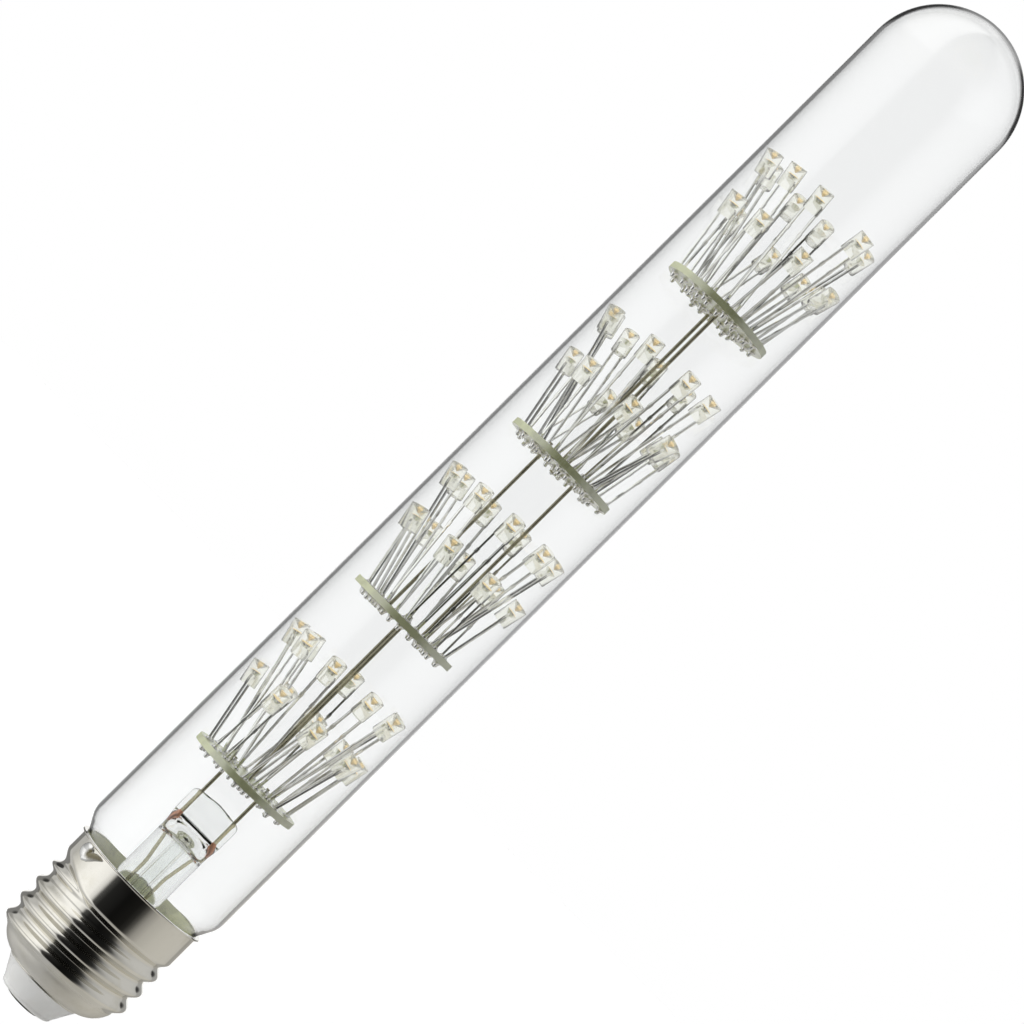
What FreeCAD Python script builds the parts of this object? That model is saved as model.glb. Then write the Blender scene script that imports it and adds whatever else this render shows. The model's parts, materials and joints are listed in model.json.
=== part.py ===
"""Clear tubular light bulb: E27 screw cap, glass tube on a pressed stem, four tiers of LEDs.

Millimetres. The bulb's axis is Z, the dome is up, and the origin is the middle of the flat
centre contact. The front, as pictured, is the -Y side, and azimuths are counted from it
towards +X.
"""
import FreeCAD
import Part
import math
import os

from FreeCAD import Vector

# Glass tube
BULB_LENGTH = 230.5
TUBE_D = 29.0
TUBE_WALL = 0.65
NECK_D = 22.0
NECK_TAPER = 29.0            # degrees from the axis
NECK_END_Z = 20.2            # where the neck is melted onto the flare of the stem
NECK_TOP_Z = 25.17           # where the taper starts
SHOULDER_ROUND = 5.0

# Screw cap, E27
CAP_TOP_Z = 27.9
CREST_D = 26.15
ROOT_D = 24.0
THREAD_PITCH = 25.4 / 7
THREAD_START_Z = 8.83        # lowest crest
THREAD_TURNS = 3.15
THREAD_START_AZIMUTH = 232.0
CREST_FLAT = 0.75
RIDGE_FOOT = 2.35
SHELL_WALL = 0.3
MOUTH_D = 15.0
MOUTH_Z = 4.9
MOUTH_LIP = 0.25
BELLY_D = 19.8               # a point half way up the bowl
BELLY_Z = 6.3
BOWL_TOP_Z = 9.4
SKIRT_D = 25.9
SKIRT_FOOT_Z = 21.3
SKIRT_STEP = 1.3
RIM_D = 27.0
RIM_T = 0.35

# Insulator and centre contact
CONTACT_D = 7.0
CONTACT_T = 0.5
CONTACT_ROUND = 0.3
SHANK_D = 2.8
RIVET_D = 4.6
RIVET_T = 0.6
INSULATOR_FOOT_D = 10.9
INSULATOR_ROUND = 0.8
INSULATOR_FLOOR = 2.6        # thickness under the well
INSULATOR_TOP_Z = 7.5
WELL_D = 11.0

# Cement and side solder
CEMENT_DROP = 0.1            # how far its top lies under the rim
CEMENT_FOOT_UP = 0.4         # how far its foot lies over the foot of the skirt
SIDE_AZIMUTH = -48.5
SIDE_WIRE_DROP = 2.0         # from the rim down to where the wire comes out
SIDE_WIRE_D = 0.4
SIDE_WIRE_INSET = 1.0        # from the edge of the driver board
SIDE_WIRE_UNDER = 0.3        # clearance under the neck's end
SIDE_WIRE_LEAN = 0.25        # outwards, up beside the neck
SIDE_WIRE_END = 0.3          # beyond the skirt, inside the bead
BEAD_D = 2.2
BEAD_SINK = 0.35             # how far the bead's centre lies inside the skirt

# Stem: flare, press and exhaust tube, counted up from the neck's end
STEM_D = 9.5
STEM_WALL = 0.8
FLARE_H = 6.8
STEM_H = 17.8
PINCH_H = 3.0
PRESS_H = 4.7
PRESS_W = 10.2
PRESS_T = 3.0
PRESS_CROWN = 0.6            # how far the middle of its top edge stands over the ends
EXHAUST_D = 2.8
EXHAUST_WALL = 0.5
EXHAUST_L = 25.5
EXHAUST_TIP_D = 1.0
EXHAUST_TIP_L = 2.0

# Circuit boards and the wires that carry them
BOARD_D = 21.9
BOARD_T = 1.2
FIRST_BOARD_GAP = 5.7        # from the press to the underside of the first board
TIER_PITCH = 37.1
DOME_CLEARANCE = 2.0         # least height from the topmost heads to the foot of the dome
WIRE_D = 0.64
WIRE_SPAN = 7.6
WIRE_STICK_OUT = 1.1         # beyond a board, where it is soldered
STAGE_AZIMUTHS = (90.0, 4.0, 90.0, 8.0)   # of one wire of the pair under a board, in turn
LEAD_IN_SPAN = 4.4           # where the two lead-ins run beside the exhaust tube
LEAD_IN_SPREAD = 9.0         # height over which they spread to the span of the boards
LEAD_IN_BEND = 1.3           # radius of their bends
LEAD_IN_UNDER_PRESS = 1.0    # where they stand straight again

# LEDs
HEAD_D = 3.1
HEAD_L = 4.5
HEAD_GLASS_GAP = 0.3         # from the outermost edge of a head to the glass
LEG_W = 0.5
LEG_PITCH = 2.54
LEG_STICK_OUT = 1.0          # cut ends under the board
LEG_IN_HEAD = 2.0            # moulded into the lens
DISH_D = 2.5                 # conical dish in the top of the lens
DISH_H = 1.3
CUP_TOP_D = 1.6
CUP_FOOT_D = 0.9
CUP_H = 0.7
TALL_ROOT_R = 6.1
TALL_RISE = 20.4             # from the board to the underside of the head
SHORT_ROOT_R = 9.0
SHORT_RISE = 10.8
# Azimuths that the heads lean to, tier by tier from the cap
TALL_AZIMUTHS = (
    (-135, -92, -49, -13, 29, 66, 110, 175),
    (-164, -123, -90, -30, 7, 46, 100, 159),
    (-142, -105, -80, -16, 26, 62, 144, 180),
    (-164, -120, -76, -36, -4, 49, 103, 163),
)
SHORT_AZIMUTHS = (
    (-149, -90, -31, 11, 58, 90, 136, 174),
    (-139, -95, -67, -15, 29, 82, 139, 178),
    (-163, -97, -45, 4, 55, 98, 125, 162),
    (-178, -128, -66, -27, 18, 78, 109, 145),
)

# Driver inside the cap; its parts are placed from the foot and the middle of its board
DRIVER_W = 16.0
DRIVER_H = 11.5
DRIVER_T = 1.0
DRIVER_Y = 2.2               # front face of its board
WIRE_SEAT = 3.0              # length of a wire that lies on the front of its board
CENTRE_WIRE_D = 0.5
CENTRE_WIRE_SEAT = 2.0
CENTRE_WIRE_UP = 1.5         # from the board's foot to the lowest point of its seat
CENTRE_WIRE_RISE = 2.5       # straight up from the rivet
CAPACITOR_D = 5.0
CAPACITOR_L = 8.0
CAPACITOR_X = -4.2
CAPACITOR_UP = 1.7
RECTIFIER_W = 4.6
RECTIFIER_H = 3.8
RECTIFIER_T = 1.6
RECTIFIER_X = 3.6
RECTIFIER_UP = 6.5
RESISTOR_D = 2.2
RESISTOR_L = 6.2
RESISTOR_X = 3.6
RESISTOR_UP = 2.9

# Radii and heights worked out from the sizes above
TUBE_R = TUBE_D / 2
NECK_R = NECK_D / 2
DOME_Z = BULB_LENGTH - TUBE_R
ROOT_R = ROOT_D / 2
CREST_R = CREST_D / 2
SKIRT_R = SKIRT_D / 2
MOUTH_R = MOUTH_D / 2
BELLY_R = BELLY_D / 2
STEM_R = STEM_D / 2
EXHAUST_R = EXHAUST_D / 2
WIRE_R = WIRE_D / 2
TAPER_SLOPE = math.tan(math.radians(NECK_TAPER))
SHOULDER_Z = NECK_TOP_Z + (TUBE_R - NECK_R) / TAPER_SLOPE   # without its round
WELL_FLOOR_Z = CONTACT_T + INSULATOR_FLOOR
SIDE_WIRE_Z = CAP_TOP_Z - SIDE_WIRE_DROP
DRIVER_TOP_Z = INSULATOR_TOP_Z + DRIVER_H
FLARE_TOP_Z = NECK_END_Z + FLARE_H
PINCH_Z = NECK_END_Z + STEM_H
PRESS_FOOT_Z = PINCH_Z + PINCH_H
PRESS_TOP_Z = PRESS_FOOT_Z + PRESS_H
EXHAUST_TIP_Z = PINCH_Z - EXHAUST_L
FIRST_BOARD_TOP_Z = PRESS_TOP_Z + FIRST_BOARD_GAP + BOARD_T
LAST_BOARD_MAX_Z = DOME_Z - DOME_CLEARANCE - HEAD_L - TALL_RISE
TIERS = 1 + math.floor((LAST_BOARD_MAX_Z - FIRST_BOARD_TOP_Z) / TIER_PITCH)
SHELL_SLANT = SHELL_WALL / math.sqrt(2)
ARC_KNEE = 1 - math.sqrt(0.5)
REACH_TRIES = 30             # of the reach of an LED's head


# Helpers
def outline(start, *steps):
    """Closed flat outline in the XZ plane from (x, z) points; a pair of points is an arc."""
    edges = []
    here = Vector(start[0], 0, start[1])
    for step in steps:
        if isinstance(step[0], tuple):
            via = Vector(step[0][0], 0, step[0][1])
            there = Vector(step[1][0], 0, step[1][1])
            edges.append(Part.Arc(here, via, there).toShape())
        else:
            there = Vector(step[0], 0, step[1])
            edges.append(Part.LineSegment(here, there).toShape())
        here = there
    first = Vector(start[0], 0, start[1])
    edges.append(Part.LineSegment(here, first).toShape())
    return Part.Face(Part.Wire(edges))


def turned(start, *steps):
    """Solid of revolution about the bulb's axis."""
    return outline(start, *steps).revolve(Vector(0, 0, 0), Vector(0, 0, 1), 360)


def on_circle(radius, azimuth, z):
    """Point at a radius and an azimuth, counted from the front towards +X."""
    angle = math.radians(azimuth)
    return Vector(radius * math.sin(angle), -radius * math.cos(angle), z)


def corner_arc(before, corner, after, radius):
    """Start, middle and end of the arc that rounds a corner of a path."""
    back = (before - corner).normalize()
    ahead = (after - corner).normalize()
    half = back.getAngle(ahead) / 2
    cut = radius / math.tan(half)
    middle_way = (back + ahead).normalize()
    centre = corner + middle_way * (radius / math.sin(half))
    return corner + back * cut, centre - middle_way * radius, corner + ahead * cut


def bent_wire(points, diameter, bend_radius):
    """Round wire along straight runs joined by tangent arcs."""
    edges = []
    here = points[0]
    for before, corner, after in zip(points, points[1:], points[2:]):
        start, middle, end = corner_arc(before, corner, after, bend_radius)
        edges.append(Part.LineSegment(here, start).toShape())
        edges.append(Part.Arc(start, middle, end).toShape())
        here = end
    edges.append(Part.LineSegment(here, points[-1]).toShape())
    path = Part.Wire(edges)
    ring = Part.Wire(Part.makeCircle(diameter / 2, points[0], points[1] - points[0]))
    return path.makePipeShell([ring], True, False)


def straight_wire(start, end, diameter):
    run = end - start
    return Part.makeCylinder(diameter / 2, run.Length, start, run)


def square_bar(start, end, width, side):
    """Bar of square section from start to end, with one pair of faces along side."""
    along = (end - start).normalize()
    across = side * (width / 2)
    up = along.cross(side) * (width / 2)
    corners = [start + across + up, start - across + up, start - across - up, start + across - up]
    face = Part.Face(Part.makePolygon(corners + corners[:1]))
    return face.extrude(end - start)


def in_turn(values, tier):
    """A tier's own value; tiers beyond the last one start again at the first."""
    return values[tier % len(values)]


def board_top(tier):
    """Level of the upper face of a tier's board."""
    return FIRST_BOARD_TOP_Z + tier * TIER_PITCH


# Screw cap
def shell_body():
    """Pressed shell without its thread: mouth lip, bowl, wall, step, skirt and rim flange."""
    belly_in = (BELLY_R - SHELL_SLANT, BELLY_Z + SHELL_SLANT)
    mouth_in = MOUTH_R - SHELL_WALL
    root_in = ROOT_R - SHELL_WALL
    skirt_in = SKIRT_R - SHELL_WALL
    return turned(
        (mouth_in, MOUTH_Z),
        (MOUTH_R, MOUTH_Z),
        (MOUTH_R, MOUTH_Z + MOUTH_LIP),
        ((BELLY_R, BELLY_Z), (ROOT_R, BOWL_TOP_Z)),
        (ROOT_R, SKIRT_FOOT_Z - SKIRT_STEP),
        (SKIRT_R, SKIRT_FOOT_Z),
        (SKIRT_R, CAP_TOP_Z - RIM_T),
        (RIM_D / 2, CAP_TOP_Z - RIM_T),
        (RIM_D / 2, CAP_TOP_Z),
        (skirt_in, CAP_TOP_Z),
        (skirt_in, SKIRT_FOOT_Z + SHELL_WALL),
        (root_in, SKIRT_FOOT_Z - SKIRT_STEP + SHELL_WALL),
        (root_in, BOWL_TOP_Z + SHELL_SLANT),
        (belly_in, (mouth_in, MOUTH_Z + MOUTH_LIP + SHELL_WALL)),
    )


def thread_ridge():
    """Rolled ridge of the right-hand thread, a flat-topped rib along a helix."""
    bury = SHELL_WALL / 2
    helix = Part.makeHelix(THREAD_PITCH, THREAD_PITCH * THREAD_TURNS, ROOT_R)
    foot = RIDGE_FOOT / 2
    crest = CREST_FLAT / 2
    rib = Part.makePolygon([
        Vector(ROOT_R - bury, 0, -foot),
        Vector(CREST_R, 0, -crest),
        Vector(CREST_R, 0, crest),
        Vector(ROOT_R - bury, 0, foot),
        Vector(ROOT_R - bury, 0, -foot),
    ])
    ridge = Part.Wire(helix).makePipeShell([rib], True, True)
    ridge.rotate(Vector(0, 0, 0), Vector(0, 0, 1), THREAD_START_AZIMUTH - 90)
    ridge.translate(Vector(0, 0, THREAD_START_Z))
    return ridge


def side_wire_hole():
    inner = on_circle(ROOT_R - SHELL_WALL, SIDE_AZIMUTH, SIDE_WIRE_Z)
    outer = on_circle(RIM_D / 2, SIDE_AZIMUTH, SIDE_WIRE_Z)
    return straight_wire(inner, outer, SIDE_WIRE_D)


def screw_shell():
    return shell_body().fuse(thread_ridge()).removeSplitter().cut(side_wire_hole())


def insulator():
    """White cone moulded through the shell's mouth, with a well over the contact."""
    mouth_in = MOUTH_R - SHELL_WALL
    foot_r = INSULATOR_FOOT_D / 2
    knee = INSULATOR_ROUND * ARC_KNEE
    return turned(
        (SHANK_D / 2, CONTACT_T),
        (foot_r - INSULATOR_ROUND, CONTACT_T),
        ((foot_r - knee, CONTACT_T + knee), (foot_r, CONTACT_T + INSULATOR_ROUND)),
        (MOUTH_R, MOUTH_Z),
        (mouth_in, MOUTH_Z),
        (mouth_in, MOUTH_Z + MOUTH_LIP + SHELL_WALL),
        (BELLY_R - SHELL_SLANT, BELLY_Z + SHELL_SLANT),
        (BELLY_R - SHELL_SLANT, INSULATOR_TOP_Z),
        (WELL_D / 2, INSULATOR_TOP_Z),
        (WELL_D / 2, WELL_FLOOR_Z),
        (SHANK_D / 2, WELL_FLOOR_Z),
    )


def centre_contact():
    """Riveted contact: rounded disc, shank through the insulator and a head in the well."""
    edge_r = CONTACT_D / 2
    knee = CONTACT_ROUND * ARC_KNEE
    return turned(
        (0, 0),
        (edge_r - CONTACT_ROUND, 0),
        ((edge_r - knee, knee), (edge_r, CONTACT_ROUND)),
        (edge_r, CONTACT_T),
        (SHANK_D / 2, CONTACT_T),
        (SHANK_D / 2, WELL_FLOOR_Z),
        (RIVET_D / 2, WELL_FLOOR_Z),
        (RIVET_D / 2, WELL_FLOOR_Z + RIVET_T),
        (0, WELL_FLOOR_Z + RIVET_T),
    )


def side_wire():
    """Thin wire from the driver, up beside the neck and out through the skirt."""
    seat_x = SIDE_WIRE_INSET - DRIVER_W / 2
    seat_y = DRIVER_Y - SIDE_WIRE_D / 2
    beside_neck = (NECK_R + ROOT_R - SHELL_WALL) / 2
    points = [
        Vector(seat_x, seat_y, DRIVER_TOP_Z - WIRE_SEAT),
        Vector(seat_x, seat_y, DRIVER_TOP_Z - WIRE_SEAT / 2),
        on_circle(beside_neck, SIDE_AZIMUTH, NECK_END_Z - STEM_WALL - SIDE_WIRE_UNDER),
        on_circle(beside_neck + SIDE_WIRE_LEAN, SIDE_AZIMUTH, SIDE_WIRE_Z),
        on_circle(SKIRT_R + SIDE_WIRE_END, SIDE_AZIMUTH, SIDE_WIRE_Z),
    ]
    return bent_wire(points, SIDE_WIRE_D, SIDE_WIRE_D)


def side_solder(wire):
    centre = on_circle(SKIRT_R - BEAD_SINK, SIDE_AZIMUTH, SIDE_WIRE_Z)
    inside = Part.makeCylinder(SKIRT_R, CAP_TOP_Z)
    return Part.makeSphere(BEAD_D / 2, centre).cut(inside).cut(wire)


def cement_ring(wire):
    """Cement between the skirt and the tapered neck."""
    skirt_in = SKIRT_R - SHELL_WALL
    top = CAP_TOP_Z - CEMENT_DROP
    foot = SKIRT_FOOT_Z + CEMENT_FOOT_UP
    ring = turned(
        (NECK_R, foot),
        (skirt_in, foot),
        (skirt_in, top),
        (NECK_R + (top - NECK_TOP_Z) * TAPER_SLOPE, top),
        (NECK_R, NECK_TOP_Z),
    )
    return ring.cut(wire)


# Glass
def tube_profile(inset):
    """Outer or inner side of the tube from the neck's end to the dome's top, as steps."""
    half = math.radians(NECK_TAPER) / 2
    shift = inset * math.tan(half)
    radius = TUBE_R - inset
    neck = NECK_R - inset
    corner_z = SHOULDER_Z - shift
    rounding = SHOULDER_ROUND - inset
    cut = rounding * math.tan(half)
    taper = Vector(-math.sin(2 * half), 0, -math.cos(2 * half))
    low = Vector(radius, 0, corner_z) + taper * cut
    high = Vector(radius, 0, corner_z + cut)
    centre = Vector(radius - rounding, 0, high.z)
    middle = centre + Vector(math.cos(half), 0, -math.sin(half)) * rounding
    neck_corner_z = corner_z - (radius - neck) / TAPER_SLOPE
    crown = radius * math.sqrt(0.5)
    return [
        (neck, NECK_END_Z),
        (neck, neck_corner_z),
        (low.x, low.z),
        ((middle.x, middle.z), (high.x, high.z)),
        (radius, DOME_Z),
        ((crown, DOME_Z + crown), (0, DOME_Z + radius)),
    ]


def glass_tube():
    outside = tube_profile(0)
    inside = tube_profile(TUBE_WALL)
    body = turned(outside[0], *outside[1:], (0, NECK_END_Z))
    hollow = turned(inside[0], *inside[1:], (0, NECK_END_Z))
    return body.cut(hollow)


def stem_glass(wires):
    """Flared tube whose top is pressed flat round the two lead-in wires."""
    bore = STEM_R - STEM_WALL
    rim_foot = NECK_END_Z - STEM_WALL
    tube = turned(
        (bore, FLARE_TOP_Z),
        (NECK_R - STEM_WALL, rim_foot),
        (NECK_R, rim_foot),
        (NECK_R, NECK_END_Z),
        (NECK_R - STEM_WALL, NECK_END_Z),
        (STEM_R, FLARE_TOP_Z),
        (STEM_R, PINCH_Z),
        (bore, PINCH_Z),
    )
    end_r = PRESS_T / 2
    flat = PRESS_W / 2 - end_r
    slot = Part.Wire([
        Part.Arc(Vector(flat, -end_r, 0), Vector(flat + end_r, 0, 0), Vector(flat, end_r, 0)).toShape(),
        Part.LineSegment(Vector(flat, end_r, 0), Vector(-flat, end_r, 0)).toShape(),
        Part.Arc(Vector(-flat, end_r, 0), Vector(-flat - end_r, 0, 0), Vector(-flat, -end_r, 0)).toShape(),
        Part.LineSegment(Vector(-flat, -end_r, 0), Vector(flat, -end_r, 0)).toShape(),
    ])
    quarter = STEM_R * math.sqrt(0.5)
    corners = [Vector(quarter, -quarter, 0), Vector(quarter, quarter, 0),
               Vector(-quarter, quarter, 0), Vector(-quarter, -quarter, 0)]
    sides = [Vector(STEM_R, 0, 0), Vector(0, STEM_R, 0), Vector(-STEM_R, 0, 0), Vector(0, -STEM_R, 0)]
    ring = Part.Wire([
        Part.Arc(corners[i], sides[i], corners[(i + 1) % 4]).toShape() for i in range(4)
    ])
    ring.translate(Vector(0, 0, PINCH_Z))
    slot.translate(Vector(0, 0, PRESS_FOOT_Z))
    pinch = Part.makeLoft([ring, slot], True, True)
    press = Part.Face(slot).extrude(Vector(0, 0, PRESS_TOP_Z - PRESS_FOOT_Z))
    crown_r = ((PRESS_W / 2) ** 2 + PRESS_CROWN ** 2) / (2 * PRESS_CROWN)
    crown_centre = Vector(0, -PRESS_W / 2, PRESS_TOP_Z - crown_r)
    crown = Part.makeCylinder(crown_r, PRESS_W, crown_centre, Vector(0, 1, 0))
    stem = tube.fuse([pinch, press.common(crown)]).removeSplitter()
    for wire in wires:
        stem = stem.cut(wire)
    return stem


def exhaust_tube():
    """Thin tube inside the stem, drawn to a closed tip."""
    bore = EXHAUST_R - EXHAUST_WALL
    tip_top = EXHAUST_TIP_Z + EXHAUST_TIP_L
    return turned(
        (0, EXHAUST_TIP_Z),
        (EXHAUST_TIP_D / 2, EXHAUST_TIP_Z),
        (EXHAUST_R, tip_top),
        (EXHAUST_R, PINCH_Z),
        (bore, PINCH_Z),
        (bore, tip_top),
        (0, EXHAUST_TIP_Z + EXHAUST_WALL),
    )


# Wires that carry the boards
def lead_in(side):
    """Wire from the driver through the stem and the press into the first board."""
    board_x = side * WIRE_SPAN / 2
    low_x = side * LEAD_IN_SPAN / 2
    driver_y = DRIVER_Y - WIRE_R
    spread_top = PRESS_FOOT_Z - LEAD_IN_UNDER_PRESS
    spread_foot = spread_top - LEAD_IN_SPREAD
    points = [
        Vector(low_x, driver_y, DRIVER_TOP_Z - WIRE_SEAT),
        Vector(low_x, driver_y, DRIVER_TOP_Z),
        Vector(low_x, 0, (DRIVER_TOP_Z + spread_foot) / 2),
        Vector(low_x, 0, spread_foot),
        Vector(board_x, 0, spread_top),
        Vector(board_x, 0, board_top(0) + WIRE_STICK_OUT),
    ]
    return bent_wire(points, WIRE_D, LEAD_IN_BEND)


def link_wire(tier, side):
    """Straight wire from the board of a tier up to the next one."""
    azimuth = in_turn(STAGE_AZIMUTHS, tier + 1) + (180 if side < 0 else 0)
    start = on_circle(WIRE_SPAN / 2, azimuth, board_top(tier) - BOARD_T - WIRE_STICK_OUT)
    end = on_circle(WIRE_SPAN / 2, azimuth, board_top(tier + 1) + WIRE_STICK_OUT)
    return straight_wire(start, end, WIRE_D)


# LEDs
def ring_roots(azimuths):
    """Evenly spaced feet, turned to lie as near as they can to the heads' azimuths."""
    step = 360.0 / len(azimuths)
    first = sum(azimuths) / len(azimuths) - step * (len(azimuths) - 1) / 2
    return [first + i * step for i in range(len(azimuths))]


def ring_leds(root_r, rise, azimuths, tier):
    """Each LED's foot on the board, the way it leans and the length up to its head.

    The reach of a head is tried again until its outermost edge keeps the gap to the glass.
    """
    limit = TUBE_R - TUBE_WALL - HEAD_GLASS_GAP
    level = board_top(tier)
    leds = []
    for root_azimuth, head_azimuth in zip(ring_roots(azimuths), azimuths):
        foot = on_circle(root_r, root_azimuth, level)
        reach = limit
        for _ in range(REACH_TRIES):
            head = on_circle(reach, head_azimuth, level + rise)
            way = (head - foot).normalize()
            top = head + way * HEAD_L
            reach += limit - math.hypot(top.x, top.y) - HEAD_D / 2 * way.z
        leds.append((foot, way, (head - foot).Length))
    return leds


def leg_side(way):
    """Level direction from one leg of an LED to the other."""
    return Vector(-way.y, way.x, 0).normalize()


def led_legs(leds):
    """Two square legs for each LED, through the board; one carries the anvil of the cup."""
    legs = []
    for foot, way, length in leds:
        side = leg_side(way)
        drop = (BOARD_T + LEG_STICK_OUT) / way.z
        for hand in (-1, 1):
            root = foot + side * (hand * LEG_PITCH / 2)
            legs.append(square_bar(root - way * drop, root + way * (length + LEG_IN_HEAD), LEG_W, side))
        anvil_level = foot + way * (length + LEG_IN_HEAD - LEG_W / 2)
        near = anvil_level + side * (LEG_PITCH / 2 - LEG_W / 2)
        far = anvil_level - side * (CUP_FOOT_D / 2)
        legs[-1] = legs[-1].fuse(square_bar(near, far, LEG_W, way)).removeSplitter()
    return legs


def led_cups(leds):
    """Reflector cups with the phosphor, each on the anvil of its leg."""
    cups = []
    for foot, way, length in leds:
        seat = foot + way * (length + LEG_IN_HEAD)
        cups.append(Part.makeCone(CUP_FOOT_D / 2, CUP_TOP_D / 2, CUP_H, seat, way))
    return cups


def led_heads(leds, legs, cups):
    """Lens bodies with a dish in their top, moulded round their legs and cup."""
    heads = []
    for i, (foot, way, length) in enumerate(leds):
        body = Part.makeCylinder(HEAD_D / 2, HEAD_L, foot + way * length, way)
        dish_tip = foot + way * (length + HEAD_L - DISH_H)
        dish = Part.makeCone(0, DISH_D / 2, DISH_H, dish_tip, way)
        heads.append(body.cut([legs[2 * i], legs[2 * i + 1], cups[i], dish]))
    return heads


def circuit_board(tier, wires, legs):
    """Round board with a hole for every wire and leg that passes through it."""
    board = Part.makeCylinder(BOARD_D / 2, BOARD_T, Vector(0, 0, board_top(tier) - BOARD_T))
    return board.cut(Part.makeCompound(wires + legs))


# Driver
def driver_board():
    return Part.makeBox(DRIVER_W, DRIVER_T, DRIVER_H, Vector(-DRIVER_W / 2, DRIVER_Y, INSULATOR_TOP_Z))


def smoothing_capacitor():
    back = DRIVER_Y + DRIVER_T
    centre = Vector(CAPACITOR_X, back + CAPACITOR_D / 2, INSULATOR_TOP_Z + CAPACITOR_UP)
    return Part.makeCylinder(CAPACITOR_D / 2, CAPACITOR_L, centre)


def bridge_rectifier():
    back = DRIVER_Y + DRIVER_T
    corner = Vector(RECTIFIER_X - RECTIFIER_W / 2, back, INSULATOR_TOP_Z + RECTIFIER_UP)
    return Part.makeBox(RECTIFIER_W, RECTIFIER_T, RECTIFIER_H, corner)


def dropper_resistor():
    back = DRIVER_Y + DRIVER_T
    start = Vector(RESISTOR_X - RESISTOR_L / 2, back + RESISTOR_D / 2, INSULATOR_TOP_Z + RESISTOR_UP)
    return Part.makeCylinder(RESISTOR_D / 2, RESISTOR_L, start, Vector(1, 0, 0))


def centre_wire():
    """Wire from the driver down to the head of the contact's rivet."""
    front_y = DRIVER_Y - CENTRE_WIRE_D / 2
    seat_foot = INSULATOR_TOP_Z + CENTRE_WIRE_UP
    rivet_top = WELL_FLOOR_Z + RIVET_T
    points = [
        Vector(0, front_y, seat_foot + CENTRE_WIRE_SEAT),
        Vector(0, front_y, seat_foot),
        Vector(0, 0, rivet_top + CENTRE_WIRE_RISE),
        Vector(0, 0, rivet_top),
    ]
    return bent_wire(points, CENTRE_WIRE_D, CENTRE_WIRE_D)


# Whole bulb
def build():
    parts = {}
    wire_to_rim = side_wire()
    lead_ins = [lead_in(-1), lead_in(1)]
    parts["screw_shell"] = screw_shell()
    parts["insulator"] = insulator()
    parts["centre_contact"] = centre_contact()
    parts["side_wire"] = wire_to_rim
    parts["side_solder"] = side_solder(wire_to_rim)
    parts["cement_ring"] = cement_ring(wire_to_rim)
    parts["glass_tube"] = glass_tube()
    parts["stem_glass"] = stem_glass(lead_ins)
    parts["exhaust_tube"] = exhaust_tube()
    parts["lead_in_left"] = lead_ins[0]
    parts["lead_in_right"] = lead_ins[1]
    parts["driver_board"] = driver_board()
    parts["smoothing_capacitor"] = smoothing_capacitor()
    parts["bridge_rectifier"] = bridge_rectifier()
    parts["dropper_resistor"] = dropper_resistor()
    parts["centre_wire"] = centre_wire()
    below = lead_ins
    for tier in range(TIERS):
        name = str(tier + 1)
        above = []
        if tier + 1 < TIERS:
            above = [link_wire(tier, -1), link_wire(tier, 1)]
            parts["link_wire_" + name + "a"] = above[0]
            parts["link_wire_" + name + "b"] = above[1]
        rings = {
            "tall": ring_leds(TALL_ROOT_R, TALL_RISE, in_turn(TALL_AZIMUTHS, tier), tier),
            "short": ring_leds(SHORT_ROOT_R, SHORT_RISE, in_turn(SHORT_AZIMUTHS, tier), tier),
        }
        all_legs = []
        all_cups = []
        for ring, leds in rings.items():
            legs = led_legs(leds)
            cups = led_cups(leds)
            parts[ring + "_led_heads_" + name] = Part.makeCompound(led_heads(leds, legs, cups))
            parts[ring + "_led_legs_" + name] = Part.makeCompound(legs)
            all_legs += legs
            all_cups += cups
        parts["led_cups_" + name] = Part.makeCompound(all_cups)
        parts["board_" + name] = circuit_board(tier, below + above, all_legs)
        below = above
    return parts


def main():
    os.makedirs("parts", exist_ok=True)
    for name, shape in build().items():
        shape.exportStep("parts/" + name + ".step")


main()
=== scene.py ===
# %% [markdown]
# # A tubular light bulb in clear glass
# The part is a long glass tube on a polished screw cap. Four round circuit boards stand over each other inside
# it, and every board carries a spray of small clear LEDs on long legs. The construction model gives each size and
# place. This lesson adds what makes the real bulb look like glass, nickel and resin. All lengths below are
# written in millimetres and turned into Blender's metres by one factor.

# %% Load the frame
import json
import math

import bmesh
import bpy
from mathutils import Matrix, Vector, noise


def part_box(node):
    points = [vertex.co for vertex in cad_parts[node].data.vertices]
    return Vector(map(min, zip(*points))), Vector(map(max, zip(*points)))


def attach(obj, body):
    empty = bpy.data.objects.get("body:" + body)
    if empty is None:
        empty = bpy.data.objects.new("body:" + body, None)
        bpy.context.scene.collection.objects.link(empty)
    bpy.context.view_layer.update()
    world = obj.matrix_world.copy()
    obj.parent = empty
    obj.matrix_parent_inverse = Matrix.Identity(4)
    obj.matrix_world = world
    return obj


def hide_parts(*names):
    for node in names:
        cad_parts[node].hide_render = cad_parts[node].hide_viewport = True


MM = 0.001
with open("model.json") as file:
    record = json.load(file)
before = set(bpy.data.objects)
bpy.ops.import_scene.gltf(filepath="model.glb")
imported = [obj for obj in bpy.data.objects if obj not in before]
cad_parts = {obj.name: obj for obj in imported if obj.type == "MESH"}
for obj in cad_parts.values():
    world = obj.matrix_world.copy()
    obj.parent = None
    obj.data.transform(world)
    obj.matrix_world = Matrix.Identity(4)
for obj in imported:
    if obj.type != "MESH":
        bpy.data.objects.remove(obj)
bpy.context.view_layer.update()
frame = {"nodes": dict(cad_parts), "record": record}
print("nodes in the frame:", len(frame["nodes"]))

# %% [markdown]
# ## The camera
# The photograph looks at the bulb a little from above the cap, with the camera turned by almost 45 degrees, so
# that the bulb runs from the lower left corner to the upper right one. The camera is placed first because every
# later comparison needs it.

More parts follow.
